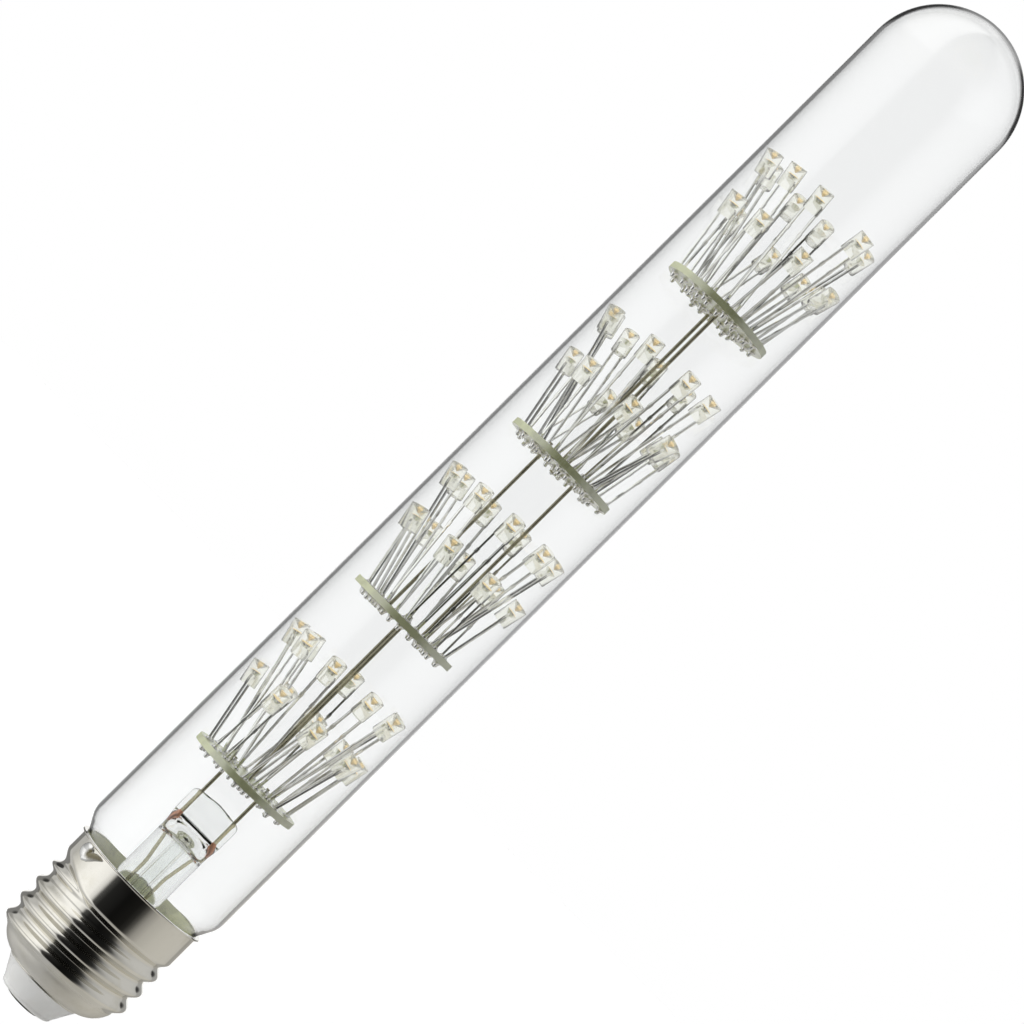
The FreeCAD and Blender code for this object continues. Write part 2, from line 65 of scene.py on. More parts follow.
# %% Place the camera
CAMERA_DISTANCE = 550.0
CAMERA_HEIGHT = 92.0
CAMERA_LEFT = 0.32           # sideways step that sets the bulb off the middle of the picture
AIM_HEIGHT = 115.0
CAMERA_ROLL = 45.12          # degrees
FOCAL_PIXELS = 3290.0
PICTURE_PIXELS = 1024.0
SENSOR = 36.0
CLIP = (0.01, 50)            # metres


def placed(name, data):
    """Puts a new object in the scene."""
    thing = bpy.data.objects.new(name, data)
    bpy.context.scene.collection.objects.link(thing)
    return thing


def make_camera():
    lens = bpy.data.cameras.new("camera")
    lens.sensor_width = SENSOR
    lens.lens = SENSOR * FOCAL_PIXELS / PICTURE_PIXELS
    lens.clip_start, lens.clip_end = CLIP
    camera = placed("camera", lens)
    stand = Vector((-CAMERA_LEFT, -CAMERA_DISTANCE, CAMERA_HEIGHT)) * MM
    aim = Vector((-CAMERA_LEFT, 0, AIM_HEIGHT)) * MM
    turn = (aim - stand).to_track_quat("-Z", "Y").to_matrix().to_4x4()
    roll = Matrix.Rotation(math.radians(CAMERA_ROLL), 4, "Z")
    camera.matrix_world = Matrix.Translation(stand) @ turn @ roll
    bpy.context.scene.camera = camera
    return lens.lens


print("focal length in mm:", round(make_camera(), 2))

# %% [markdown]
# ## Node arithmetic
# Both materials and Geometry Nodes are wired by script. A few small helpers put a node in the tree and join its
# inputs, so that a rule reads nearly as it would on paper.


# %% Helpers for node trees
def joined(tree, socket, value):
    """Joins an output to an input, or sets the input to a plain value."""
    if isinstance(value, bpy.types.NodeSocket):
        tree.links.new(value, socket)
    else:
        socket.default_value = value


def node_in(tree, kind, inputs=(), **settings):
    """Adds a node with its settings and fills its inputs, which go by number or by name."""
    node = tree.nodes.new(kind)
    for label, value in settings.items():
        setattr(node, label, value)
    for socket, value in dict(inputs).items():
        joined(tree, node.inputs[socket], value)
    return node


def sum_of(tree, operation, *values):
    return node_in(tree, "ShaderNodeMath", enumerate(values), operation=operation).outputs[0]


def times(tree, first, second):
    return sum_of(tree, "MULTIPLY", first, second)


def minus(tree, first, second):
    return sum_of(tree, "SUBTRACT", first, second)


def parts_of(tree, vector):
    """The x, y and z of a vector."""
    return node_in(tree, "ShaderNodeSeparateXYZ", {0: vector}).outputs


def step_between(tree, value, low, high):
    """0 below low, 1 above high and a smooth step between them."""
    ends = {"Value": value, "From Min": low, "From Max": high}
    return node_in(tree, "ShaderNodeMapRange", ends, interpolation_type="SMOOTHSTEP").outputs["Result"]


# %% Helpers that mix
def lerp(tree, share, first, second):
    """Mixes two levels."""
    return node_in(tree, "ShaderNodeMix", {"Factor": share, 2: first, 3: second}).outputs[0]


def mixed(tree, share, first, second, blend="MIX"):
    """Mixes two colours."""
    both = {"Factor": share, 6: first, 7: second}
    return node_in(tree, "ShaderNodeMix", both, data_type="RGBA", blend_type=blend).outputs[2]


def either(tree, share, first, second):
    """The first shader where share is 0, the second where it is 1."""
    return node_in(tree, "ShaderNodeMixShader", {0: share, 1: first, 2: second}).outputs[0]


def grey(level):
    return (level, level, level, 1)


# %% [markdown]
# ## Light and surroundings
# Polished metal and glass show what stands around them more than their own colour. The photograph was taken
# between a bright white panel on the left and a dim warm one on the right, with the dark room behind the camera:
# that dark gap is the black band down the cap. The world is painted as that room for mirror rays only. Rays that
# come straight from the camera, or through glass without a reflection, see plain white, and matt surfaces get
# their light from soft lamps.

# %% Measure the room
WALLS = (                    # azimuth from the camera towards +X, in degrees, and brightness
    (-180, 0.55), (-148, 0.36), (-125, 0.34), (-99, 0.55), (-79, 0.68), (-61, 0.72), (-45, 0.66), (-37, 0.48),
    (-32, 0.05), (-23, 0.012), (0, 0.005), (21, 0.010), (29, 0.024), (35, 0.08), (45, 0.30), (58, 0.46),
    (78, 0.54), (99, 0.57), (125, 0.57), (148, 0.50), (180, 0.55),
)
# Pairs below say where an effect begins and where it is full: along the x or z of a ray of length 1.
EDGE_LEFT = 1.62             # the left panel is brighter low down and high up
EDGE_RIGHT = 1.05
EDGE_TURN = (-0.1, 0.1)
EDGE_BELOW = (-0.08, -0.13)
EDGE_ABOVE = (0.28, 0.42)
GROUND = 0.45                # the table, for rays that look steeply down
GROUND_HEIGHT = (-0.62, -0.95)
GAP_LEFT = 0.23              # dark gaps round the backdrop
GAP_RIGHT = 0.38
GAP_TURN = (-0.2, 0.2)
GAP_DIAGONAL = 0.04          # towards the upper corners
GAP_CORNER = (0.28, 0.42)
GAP_OUTSIDE = (0.72, 0.64)   # how far off the axis the gaps begin and end, in radians
GAP_INSIDE = (0.30, 0.24)
GAP_LEAN = 0.34              # the gap behind the camera goes on overhead
VIEW_LIFT = 0.1              # level rays in the upper tube still look up a little
NOT_ZERO = 0.0001            # keeps a division safe
WARM = (1.0, 0.975, 0.92, 1)
WARM_TURN = (-0.1, 0.3)
WARM_HEIGHT = (0.0, -0.12)
LIT_INSIDE = 0.9             # resin and stem glass in the tube collect light from all round
DEEP_INSIDE = 4.5            # a ray that has crossed more walls than this is in them
ONE_MIRROR = 1.5             # a ray turned back less often than this still counts as straight
print("brightest panel:", max(level for angle, level in WALLS))


# %% Paint the room
def wall_level(tree, x, y, z):
    """Brightness of the panels and the dark gap behind the camera, by azimuth."""
    leaning = sum_of(tree, "MULTIPLY_ADD", sum_of(tree, "MAXIMUM", z, 0), GAP_LEAN, times(tree, y, -1))
    azimuth = sum_of(tree, "ARCTAN2", x, leaning)
    ramp = node_in(tree, "ShaderNodeValToRGB", {0: sum_of(tree, "MULTIPLY_ADD", azimuth, 0.5 / math.pi, 0.5)})
    stops = ramp.color_ramp.elements
    stops.remove(stops[-1])
    for i, (angle, level) in enumerate(WALLS):
        stop = stops[0] if i == 0 else stops.new(angle / 360 + 0.5)
        stop.position = angle / 360 + 0.5
        stop.color = grey(level)
    edge = sum_of(tree, "MAXIMUM", step_between(tree, z, *EDGE_BELOW), step_between(tree, z, *EDGE_ABOVE))
    gain = lerp(tree, step_between(tree, x, *EDGE_TURN), EDGE_LEFT, EDGE_RIGHT)
    return times(tree, ramp.outputs[0], lerp(tree, edge, 1, gain))


def upper_corner(tree, x, z):
    """1 towards the upper left and upper right, 0 level, below and overhead."""
    above = sum_of(tree, "MAXIMUM", minus(tree, z, VIEW_LIFT), 0)
    square = sum_of(tree, "MULTIPLY_ADD", x, x, sum_of(tree, "MULTIPLY_ADD", above, above, NOT_ZERO))
    diagonal = sum_of(tree, "DIVIDE", times(tree, sum_of(tree, "ABSOLUTE", x), above), square)
    return step_between(tree, diagonal, *GAP_CORNER)


def light_path(tree):
    """What kind of ray it is, and how often it was turned back by a surface."""
    rays = node_in(tree, "ShaderNodeLightPath").outputs
    return rays, minus(tree, rays["Ray Depth"], rays["Transmission Depth"])


def paint_room():
    world = bpy.data.worlds.new("studio")
    bpy.context.scene.world = world
    world.use_nodes = True
    world.cycles_visibility.diffuse = False
    tree = world.node_tree
    tree.nodes.clear()
    x, y, z = parts_of(tree, node_in(tree, "ShaderNodeTexCoord").outputs["Generated"])
    level = lerp(tree, step_between(tree, z, *GROUND_HEIGHT), wall_level(tree, x, y, z), GROUND)
    gap = lerp(tree, step_between(tree, x, *GAP_TURN), GAP_LEFT, GAP_RIGHT)
    gap = lerp(tree, upper_corner(tree, x, z), gap, GAP_DIAGONAL)
    off_axis = sum_of(tree, "ARCCOSINE", y)
    level = lerp(tree, step_between(tree, off_axis, *GAP_OUTSIDE), level, gap)
    level = lerp(tree, step_between(tree, off_axis, *GAP_INSIDE), level, 1)
    rays, turned_back = light_path(tree)
    inside = sum_of(tree, "GREATER_THAN", rays["Transmission Depth"], DEEP_INSIDE)
    level = lerp(tree, times(tree, inside, LIT_INSIDE), level, 1)
    warmth = times(tree, step_between(tree, x, *WARM_TURN), step_between(tree, z, *WARM_HEIGHT))
    tinted = mixed(tree, 1, level, mixed(tree, warmth, grey(1), WARM), "MULTIPLY")
    ahead = sum_of(tree, "MAXIMUM", rays["Is Camera Ray"], rays["Is Transmission Ray"])
    straight = times(tree, sum_of(tree, "LESS_THAN", turned_back, ONE_MIRROR), ahead)
    room = node_in(tree, "ShaderNodeBackground", {0: tinted})
    white = node_in(tree, "ShaderNodeBackground", {0: grey(1)})
    node_in(tree, "ShaderNodeOutputWorld", {0: either(tree, straight, room.outputs[0], white.outputs[0])})
    return len(tree.nodes)


print("nodes in the painted room:", paint_room())

# %% [markdown]
# ## Lamps and floor
# Large soft lamps shape the matt pieces: a strong one on the left and weak ones around. They don't show in
# mirrors, because the painted room already does. The floor lies a little under the bulb, as if it were held up
# there, so the shadow falls out of the picture as it does in the photograph. Mirror rays pass through the floor,
# even when they come out of the glass, because the room is painted below the horizon too.

# %% Set the lamps
LAMPS = (                    # name, direction that the light comes from, strength
    ("left_softbox", (-1.0, -0.2, 0.2), 3.60),
    ("right_panel", (1.0, -0.3, 0.2), 0.15),
    ("overhead_panel", (0.0, 0.0, 1.0), 1.20),
    ("back_panel", (0.0, 1.0, 0.2), 0.60),
)
LAMP_SPREAD = 100            # degrees

for name, place, strength in LAMPS:
    lamp = bpy.data.lights.new(name, "SUN")
    lamp.angle = math.radians(LAMP_SPREAD)
    lamp.energy = strength
    stand = placed(name, lamp)
    stand.rotation_euler = Vector(place).to_track_quat("Z", "Y").to_euler()
    stand.visible_glossy = stand.visible_camera = stand.visible_transmission = False
print("lamps:", len(LAMPS))

# %% Lay the floor
FLOOR_Z = -50.0
FLOOR_SIZE = 8000.0
PAPER_WHITE = 0.8
FLOOR_GLOW = 0.37            # keeps the paper white where the camera sees it
NO_MIRROR = 0.5


def new_material(name):
    material = bpy.data.materials.new(name)
    material.use_nodes = True
    return material, material.node_tree


def lay_floor():
    half, level = FLOOR_SIZE / 2 * MM, FLOOR_Z * MM
    mesh = bpy.data.meshes.new("floor")
    corners = [(-half, -half, level), (half, -half, level), (half, half, level), (-half, half, level)]
    mesh.from_pydata(corners, [], [(0, 1, 2, 3)])
    floor = placed("floor", mesh)
    floor.visible_glossy = False
    paper, tree = new_material("paper")
    tree.nodes.clear()
    rays, turned_back = light_path(tree)
    straight = sum_of(tree, "LESS_THAN", turned_back, NO_MIRROR)
    matt = node_in(tree, "ShaderNodeBsdfDiffuse", {0: grey(PAPER_WHITE)})
    glow = node_in(tree, "ShaderNodeEmission", {"Strength": times(tree, straight, FLOOR_GLOW)})
    both = node_in(tree, "ShaderNodeAddShader", {0: matt.outputs[0], 1: glow.outputs[0]})
    unseen = node_in(tree, "ShaderNodeBsdfTransparent")
    mirrored = sum_of(tree, "MAXIMUM", minus(tree, rays["Is Transmission Ray"], straight), 0)
    choice = either(tree, mirrored, both.outputs[0], unseen.outputs[0])
    node_in(tree, "ShaderNodeOutputMaterial", {0: choice})
    mesh.materials.append(paper)


lay_floor()
print("floor at", FLOOR_Z, "mm")

# %% [markdown]
# ## Shared effects for the materials
# Two effects return in most finishes: a fine grain, which breaks up gloss, and soft stains, where handling and
# heat have left the colour uneven. Each is one node group with named inputs, used with its own values in each
# material.

# %% Build the shared groups
GRAIN_DETAIL = 3
BROAD_GRAIN = 0.12           # scale of the slow change in gloss, beside the fine grain
BROAD_DETAIL = 2
STAIN_EDGE = (0.48, 0.68)
STAIN_DETAIL = 4
STAIN_RAGGED = 0.6


def group_of(name, kind, inputs, outputs):
    """New node group with named sockets, and the sockets as they look from inside it."""
    tree = bpy.data.node_groups.new(name, kind)
    for direction, sockets in (("INPUT", inputs), ("OUTPUT", outputs)):
        for label, content in sockets.items():
            tree.interface.new_socket(label, in_out=direction, socket_type="NodeSocket" + content)
    return tree, node_in(tree, "NodeGroupInput").outputs, node_in(tree, "NodeGroupOutput").inputs


def clouds(tree, vector, scale, detail, roughness=0.5):
    look = {"Vector": vector, "Scale": scale, "Detail": detail, "Roughness": roughness}
    return node_in(tree, "ShaderNodeTexNoise", look).outputs["Fac"]


def grain_group():
    """Height and roughness that waver with a fine grain; scale in grains per metre."""
    inputs = {"Vector": "Vector", "Scale": "Float", "Roughness": "Float", "Waver": "Float"}
    outputs = {"Height": "Float", "Roughness": "Float"}
    tree, given, made = group_of("fine_grain", "ShaderNodeTree", inputs, outputs)
    joined(tree, made["Height"], clouds(tree, given["Vector"], given["Scale"], GRAIN_DETAIL))
    broad = clouds(tree, given["Vector"], times(tree, given["Scale"], BROAD_GRAIN), BROAD_DETAIL)
    rough = sum_of(tree, "MULTIPLY_ADD", minus(tree, broad, 0.5), given["Waver"], given["Roughness"])
    joined(tree, made["Roughness"], rough)
    return tree


def stain_group():
    """Colour that drifts from clean to stained in soft patches."""
    inputs = {"Vector": "Vector", "Scale": "Float", "Clean": "Color", "Stained": "Color", "Share": "Float"}
    tree, given, made = group_of("soft_stain", "ShaderNodeTree", inputs, {"Color": "Color"})
    patches = clouds(tree, given["Vector"], given["Scale"], STAIN_DETAIL, STAIN_RAGGED)
    share = times(tree, step_between(tree, patches, *STAIN_EDGE), given["Share"])
    joined(tree, made["Color"], mixed(tree, share, given["Clean"], given["Stained"]))
    return tree


GRAIN = grain_group()
STAIN = stain_group()
print("shared groups:", GRAIN.name, STAIN.name)


# %% Use the shared groups
def own_place(tree):
    return node_in(tree, "ShaderNodeTexCoord").outputs["Object"]


def effect(tree, group, values):
    """Places a shared group with the values of one material."""
    return node_in(tree, "ShaderNodeGroup", {"Vector": own_place(tree), **values}, node_tree=group).outputs


def grained(tree, shader, bump, values):
    """Gives a shader the bumps of the fine grain, so many millimetres high."""
    grain = effect(tree, GRAIN, values)
    look = {"Strength": 1, "Distance": bump * MM, "Height": grain["Height"]}
    joined(tree, shader["Normal"], node_in(tree, "ShaderNodeBump", look).outputs[0])
    return grain


# %% [markdown]
# ## Opaque finishes
# Nickel, tin, resin and board are all one Principled shader with a stain in the colour and a grain in the gloss.
# What differs is written as values: how metallic, how rough, how strong the grain. Solder also turns dark brown
# and loses its metal shine where an attribute of the mesh asks for it.

# %% Make the finishes
FINISHES = {                 # clean, stained, share, scale, metallic, roughness, waver, grain, bump in mm
    "white_insulator": ((0.86, 0.86, 0.84), (0.80, 0.79, 0.74), 0.4, 120, 0, 0.28, 0.10, 900, 0.010),
    "contact_metal": ((0.20, 0.195, 0.18), (0.12, 0.11, 0.10), 0.5, 300, 1, 0.30, 0.15, 2500, 0.006),
    "nickel_shell": ((0.81, 0.79, 0.725), (0.62, 0.59, 0.48), 0.35, 160, 1, 0.06, 0.04, 2200, 0.0012),
    "solder": ((0.90, 0.90, 0.88), (0.60, 0.58, 0.50), 0.5, 500, 1, 0.14, 0.10, 1500, 0.020),
    "copper_wire": ((0.56, 0.28, 0.18), (0.30, 0.15, 0.09), 0.6, 400, 1, 0.30, 0.15, 2500, 0.005),
    "cement": ((0.93, 0.94, 0.55), (0.56, 0.57, 0.30), 0.7, 260, 0, 0.75, 0.10, 900, 0.120),
    "support_wire": ((0.50, 0.47, 0.34), (0.30, 0.27, 0.17), 0.6, 150, 1, 0.04, 0.08, 3000, 0.002),
    "circuit_board": ((0.88, 0.92, 0.52), (0.46, 0.49, 0.22), 0.6, 220, 0, 0.22, 0.12, 1800, 0.006),
    "driver_board": ((0.10, 0.26, 0.12), (0.07, 0.18, 0.08), 0.5, 300, 0, 0.45, 0.15, 1500, 0.010),
    "capacitor_can": ((0.05, 0.05, 0.06), (0.09, 0.09, 0.10), 0.4, 300, 0, 0.35, 0.10, 1500, 0.005),
    "black_package": ((0.03, 0.03, 0.03), (0.06, 0.06, 0.06), 0.4, 300, 0, 0.55, 0.10, 2500, 0.010),
    "resistor_body": ((0.52, 0.66, 0.70), (0.44, 0.56, 0.60), 0.4, 300, 0, 0.40, 0.10, 1500, 0.010),
    "led_lead": ((0.90, 0.90, 0.87), (0.66, 0.65, 0.56), 0.5, 350, 1, 0.08, 0.08, 2500, 0.006),
    "phosphor": ((1.00, 0.80, 0.48), (1.00, 0.70, 0.34), 0.5, 1500, 0, 0.60, 0.10, 4000, 0.010),
}
# colour and strength of the painted glow that the phosphor is given
PHOSPHOR_PAINTED_GLOW_COLOUR = (1.0, 0.78, 0.44, 1)
PHOSPHOR_PAINTED_GLOW = 0.55         # painted glow: the unlit phosphor shines a little with light of its own
# dark brown that the solder takes in patches along its tail, where it is not metallic
TAIL_DARK_BROWN = (0.17, 0.15, 0.09, 1)


def finish(name, clean, stained, share, stain_scale, metallic, roughness, waver, grain_scale, bump):
    material, tree = new_material(name)
    shader = tree.nodes["Principled BSDF"].inputs
    look = {"Scale": stain_scale, "Clean": (*clean, 1), "Stained": (*stained, 1), "Share": share}
    joined(tree, shader["Base Color"], effect(tree, STAIN, look)["Color"])
    grain = grained(tree, shader, bump, {"Scale": grain_scale, "Roughness": roughness, "Waver": waver})
    joined(tree, shader["Roughness"], grain["Roughness"])
    shader["Metallic"].default_value = metallic
    return material


def opened(name):
    """A finish's tree and the inputs of its shader."""
    tree = FINISH[name].node_tree
    return tree, tree.nodes["Principled BSDF"].inputs


def fed_by(socket):
    """The output that feeds a socket now."""
    return socket.links[0].from_socket


FINISH = {name: finish(name, *values) for name, values in FINISHES.items()}
# the phosphor gets a painted glow, though the bulb is not switched on
tree, shader = opened("phosphor")
shader["Emission Color"].default_value = PHOSPHOR_PAINTED_GLOW_COLOUR
shader["Emission Strength"].default_value = PHOSPHOR_PAINTED_GLOW
tree, shader = opened("solder")
# darker brown and not metallic where the mesh's patch attribute asks for it
darkened = node_in(tree, "ShaderNodeAttribute", attribute_name="dark_patch").outputs["Fac"]
joined(tree, shader["Base Color"], mixed(tree, darkened, fed_by(shader["Base Color"]), TAIL_DARK_BROWN))
joined(tree, shader["Metallic"], minus(tree, 1, darkened))
print("opaque finishes:", len(FINISH))

# %% [markdown]
# ## Nickel plate
# The cap is pressed from brass sheet and nickel plated. Its thread and skirt are mirror bright, while the bowl
# under the thread keeps the dull satin of the drawn sheet. The height along the cap tells the two apart, so one
# material covers the whole shell.

# %% Dull the nickel of the bowl
SATIN_TO_POLISH = (8.9, 9.3)  # heights on the cap
SATIN = 0.34                 # more roughness than the polished nickel

tree, shader = opened("nickel_shell")
height = parts_of(tree, own_place(tree))[2]
polished = step_between(tree, height, *(z * MM for z in SATIN_TO_POLISH))
dulled = times(tree, minus(tree, 1, polished), SATIN)
joined(tree, shader["Roughness"], sum_of(tree, "ADD", fed_by(shader["Roughness"]), dulled))
print("satin below", SATIN_TO_POLISH[0], "mm")

# %% [markdown]
# ## Circuit board
# The boards are glass-fibre laminate: a pale yellow-green resin with a woven cloth in it. Crossed waves show that
# weave, and a soft stain stands for flux left from soldering.

# %% Weave the board
WEAVE_PITCH = 0.5
WEAVE_SHARE = 0.18
WEAVE_COLOUR = (0.84, 0.86, 0.60, 1)
LACQUER_IOR = 3.0            # the lacquer mirrors the panels strongly

tree, shader = opened("circuit_board")
pull = 2 * math.pi / (WEAVE_PITCH * MM)
warp, weft = (sum_of(tree, "SINE", times(tree, way, pull)) for way in parts_of(tree, own_place(tree))[:2])
weave = sum_of(tree, "MULTIPLY_ADD", times(tree, warp, weft), WEAVE_SHARE, WEAVE_SHARE)
joined(tree, shader["Base Color"], mixed(tree, weave, fed_by(shader["Base Color"]), WEAVE_COLOUR))
shader["IOR"].default_value = LACQUER_IOR

# %% [markdown]
# ## Clear glass and resin
# Real glass bends light, so the tube has both of its walls and the shader refracts. A shadow ray goes straight
# through instead: without that, everything inside the tube would sit in a dark shadow that real clear glass
# doesn't cast.

# %% Make the glass
CLEAR = {                    # tint, bending of light, roughness, streaks per metre, height of the streaks
    "clear_glass": ((0.985, 0.99, 0.99, 1), 1.5, 0, 60, 0.004),
    "stem_glass": ((0.97, 0.98, 0.975, 1), 1.52, 0, 250, 0.015),
    "led_lens": ((1.0, 1.0, 0.94, 1), 1.40, 0.24, 900, 0.010),
}


def clear(name, tint, ior, roughness, streaks, streak_bump):
    material, tree = new_material(name)
    solid = tree.nodes["Principled BSDF"]
    look = {"Base Color": tint, "Transmission Weight": 1, "IOR": ior, "Roughness": roughness}
    for label, value in look.items():
        solid.inputs[label].default_value = value
    grained(tree, solid.inputs, streak_bump, {"Scale": streaks})
    through = node_in(tree, "ShaderNodeBsdfTransparent", {0: tint})
    shadow = node_in(tree, "ShaderNodeLightPath").outputs["Is Shadow Ray"]
    blend = either(tree, shadow, solid.outputs[0], through.outputs[0])
    joined(tree, tree.nodes["Material Output"].inputs["Surface"], blend)
    return material


FINISH.update((name, clear(name, *values)) for name, values in CLEAR.items())
print("clear finishes:", len(CLEAR))

# %% [markdown]
# ## Meshes from profiles
# Nearly every piece of a bulb is turned, blown or drawn round one axis. A profile of radius and height, spun in
# script, gives closed rings with as many facets as the gloss needs. Edges that are really sharp are marked, and
# all others are shaded smooth.

# %% Helpers for meshes
SAME_POINT = 1e-7            # metres
ON_AXIS = 1e-6


def mesh_from(form, name, sharp_degrees=40):
    bmesh.ops.remove_doubles(form, verts=form.verts, dist=SAME_POINT)
    bmesh.ops.recalc_face_normals(form, faces=form.faces)
    limit = math.radians(sharp_degrees)
    for face in form.faces:
        face.smooth = True
    for edge in form.edges:
        edge.smooth = edge.is_boundary or edge.calc_face_angle(0) < limit
    mesh = bpy.data.meshes.new(name)
    form.to_mesh(mesh)
    form.free()
    return mesh


def angles(count):
    return [2 * math.pi * i / count for i in range(count)]


def corners(form, points):
    """New corners of a form at points in millimetres."""
    return [form.verts.new([c * MM for c in point]) for point in points]


def skinned(form, rings, foot=True):
    """Sides between rings of equally many corners, a lid on the last ring and a foot under the first."""
    for low, high in zip(rings, rings[1:]):
        for i in range(len(low)):
            j = (i + 1) % len(low)
            form.faces.new((low[i], low[j], high[j], high[i]))
    if foot:
        form.faces.new(rings[0][::-1])
    form.faces.new(rings[-1])


def turned(name, profile, segments, sharp_degrees=40):
    """Closed ring or body from (radius, height) points in millimetres that go round its section."""
    form = bmesh.new()
    rings = []
    for radius, height in profile:
        around = angles(segments) if radius > ON_AXIS else [0]
        rings.append(corners(form, [(radius * math.sin(a), -radius * math.cos(a), height) for a in around]))
    for low, high in zip(rings, rings[1:] + rings[:1]):
        for i in range(segments):
            j = (i + 1) % segments
            four = (low[i % len(low)], low[j % len(low)], high[j % len(high)], high[i % len(high)])
            face = list(dict.fromkeys(four))
            if len(face) > 2:
                form.faces.new(face)
    return mesh_from(form, name, sharp_degrees)


# %% A curve through three points
def arc(start, via, end, steps):
    """Points on the circle through three (radius, height) points, without the first."""
    (ax, ay), (bx, by), (cx, cy) = start, via, end
    d = 2 * (ax * (by - cy) + bx * (cy - ay) + cx * (ay - by))
    aa, bb, cc = ax * ax + ay * ay, bx * bx + by * by, cx * cx + cy * cy
    ox = (aa * (by - cy) + bb * (cy - ay) + cc * (ay - by)) / d
    oy = (aa * (cx - bx) + bb * (ax - cx) + cc * (bx - ax)) / d
    first = math.atan2(ay - oy, ax - ox)
    middle = (math.atan2(by - oy, bx - ox) - first + math.pi) % (2 * math.pi) - math.pi
    sweep = (math.atan2(cy - oy, cx - ox) - first) % (2 * math.pi)
    if middle < 0:
        sweep -= 2 * math.pi
    radius = math.hypot(ax - ox, ay - oy)
    steps = [first + sweep * i / steps for i in range(1, steps + 1)]
    return [(ox + radius * math.cos(a), oy + radius * math.sin(a)) for a in steps]


# %% Hand a piece in
def handed_in(piece, slot, *nodes):
    """Rides the only body and stands for its construction nodes; the slot is not used."""
    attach(piece, "root")
    if nodes:
        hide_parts(*nodes)
    print(piece.name, "faces:", len(piece.data.polygons))


def faced(mesh, slot):
    mesh.materials.clear()
    mesh.materials.append(FINISH[slot])
    return mesh


# %% [markdown]
# ## Geometry Nodes in a script
# A tree is built once, with named inputs. It is then run on an object, and the result is kept as a plain mesh, so
# that the part holds no live modifiers.


# %% Helpers for geometry trees
def geometry_tree(name, inputs):
    shape = {"Geometry": "Geometry"}
    return group_of(name, "GeometryNodeTree", {**shape, **inputs, "Finish": "Material"}, shape)


def painted(tree, given, made, geometry):
    """Ends a tree: real geometry in place of instances, then its finish."""
    solid = node_in(tree, "GeometryNodeRealizeInstances", {0: geometry})
    look = {"Geometry": solid.outputs[0], "Material": given["Finish"]}
    joined(tree, made[0], node_in(tree, "GeometryNodeSetMaterial", look).outputs[0])


def settled(piece):
    """The plain mesh that a piece's modifiers give; the modifiers go."""
    graph = bpy.context.evaluated_depsgraph_get()
    mesh = bpy.data.meshes.new_from_object(piece.evaluated_get(graph), depsgraph=graph)
    piece.modifiers.clear()
    return mesh


def grown(piece, tree, values):
    """Runs a tree on a piece and leaves the result as its own plain mesh."""
    modifier = piece.modifiers.new("grow", "NODES")
    modifier.node_group = tree
    for item in tree.interface.items_tree:
        if item.in_out == "INPUT" and item.name in values:
            modifier[item.identifier] = values[item.name]
    plain = piece.data
    piece.data = settled(piece)
    bpy.data.meshes.remove(plain)


# %% [markdown]
# ## The screw shell
# The thread of a lamp cap isn't cut. The thin sheet is rolled between two formed wheels, so the inside follows
# the outside, the crests are round, and the thread runs out softly at both ends. That is a rule, and so it suits
# Geometry Nodes: a plain turned shell goes in, and the tree moves each point outwards by the height of the thread
# at its place.

# %% Work out the thread
ROOT_R = 11.87
THREAD = {
    "Root Radius": ROOT_R * MM,
    "Lowest Crest": 8.83 * MM,
    "Pitch": 25.4 / 7 * MM,
    "Turns": 3.26,
    "Start Turn": 232.0 / 360,
    "Height": 1.24 * MM,
    "Run Out": 0.12,
    "Last Crest Sharpness": 2.0,
    "Skirt Step": 1.08 * MM,
    "Skirt Foot": 19.7 * MM,
    "Skirt Top": 21.6 * MM,
    "Skirt Lift": 1.75 * MM,
    "Lift Azimuth": math.radians(-100),
    "Blend": 0.2 * MM,
}
RUN_IN = (-0.7, 1.8)         # in run-outs from the start
LAST_CREST = (0.5, 0.2)      # in turns before the end
LIFT_TURN = (0.1, 0.9)       # cosine of the angle from the lifted side
LIFT_STRETCH = 0.35          # the step is longer where it is lifted
WALL_REACH = 0.05            # only the wall up to here is rolled


def thread_height(tree, given, angle, z):
    """Height of the rolled thread over its root."""
    turn = minus(tree, sum_of(tree, "DIVIDE", angle, 2 * math.pi), given["Start Turn"])
    turn = sum_of(tree, "FRACT", turn)
    climb = sum_of(tree, "DIVIDE", minus(tree, z, given["Lowest Crest"]), given["Pitch"])
    climb = minus(tree, climb, turn)
    crest = sum_of(tree, "ROUND", climb)
    phase = minus(tree, climb, crest)
    along = sum_of(tree, "ADD", turn, crest)
    fade, last = given["Run Out"], given["Turns"]
    rise = step_between(tree, along, *(times(tree, fade, share) for share in RUN_IN))
    fall = step_between(tree, along, sum_of(tree, "ADD", last, fade), minus(tree, last, fade))
    wave = sum_of(tree, "COSINE", times(tree, phase, 2 * math.pi))
    wave = sum_of(tree, "MULTIPLY_ADD", wave, 0.5, 0.5)
    ending = step_between(tree, along, *(minus(tree, last, turns) for turns in LAST_CREST))
    wave = sum_of(tree, "POWER", wave, lerp(tree, ending, 1, given["Last Crest Sharpness"]))
    return times(tree, times(tree, times(tree, rise, fall), wave), given["Height"])


def skirt_height(tree, given, angle, z):
    """Step out to the skirt, which starts higher where the thread runs out."""
    turned_by = sum_of(tree, "COSINE", minus(tree, angle, given["Lift Azimuth"]))
    lift = times(tree, step_between(tree, turned_by, *LIFT_TURN), given["Skirt Lift"])
    top = sum_of(tree, "MULTIPLY_ADD", lift, LIFT_STRETCH, given["Skirt Top"])
    step = step_between(tree, minus(tree, z, lift), given["Skirt Foot"], top)
    return times(tree, step, given["Skirt Step"])


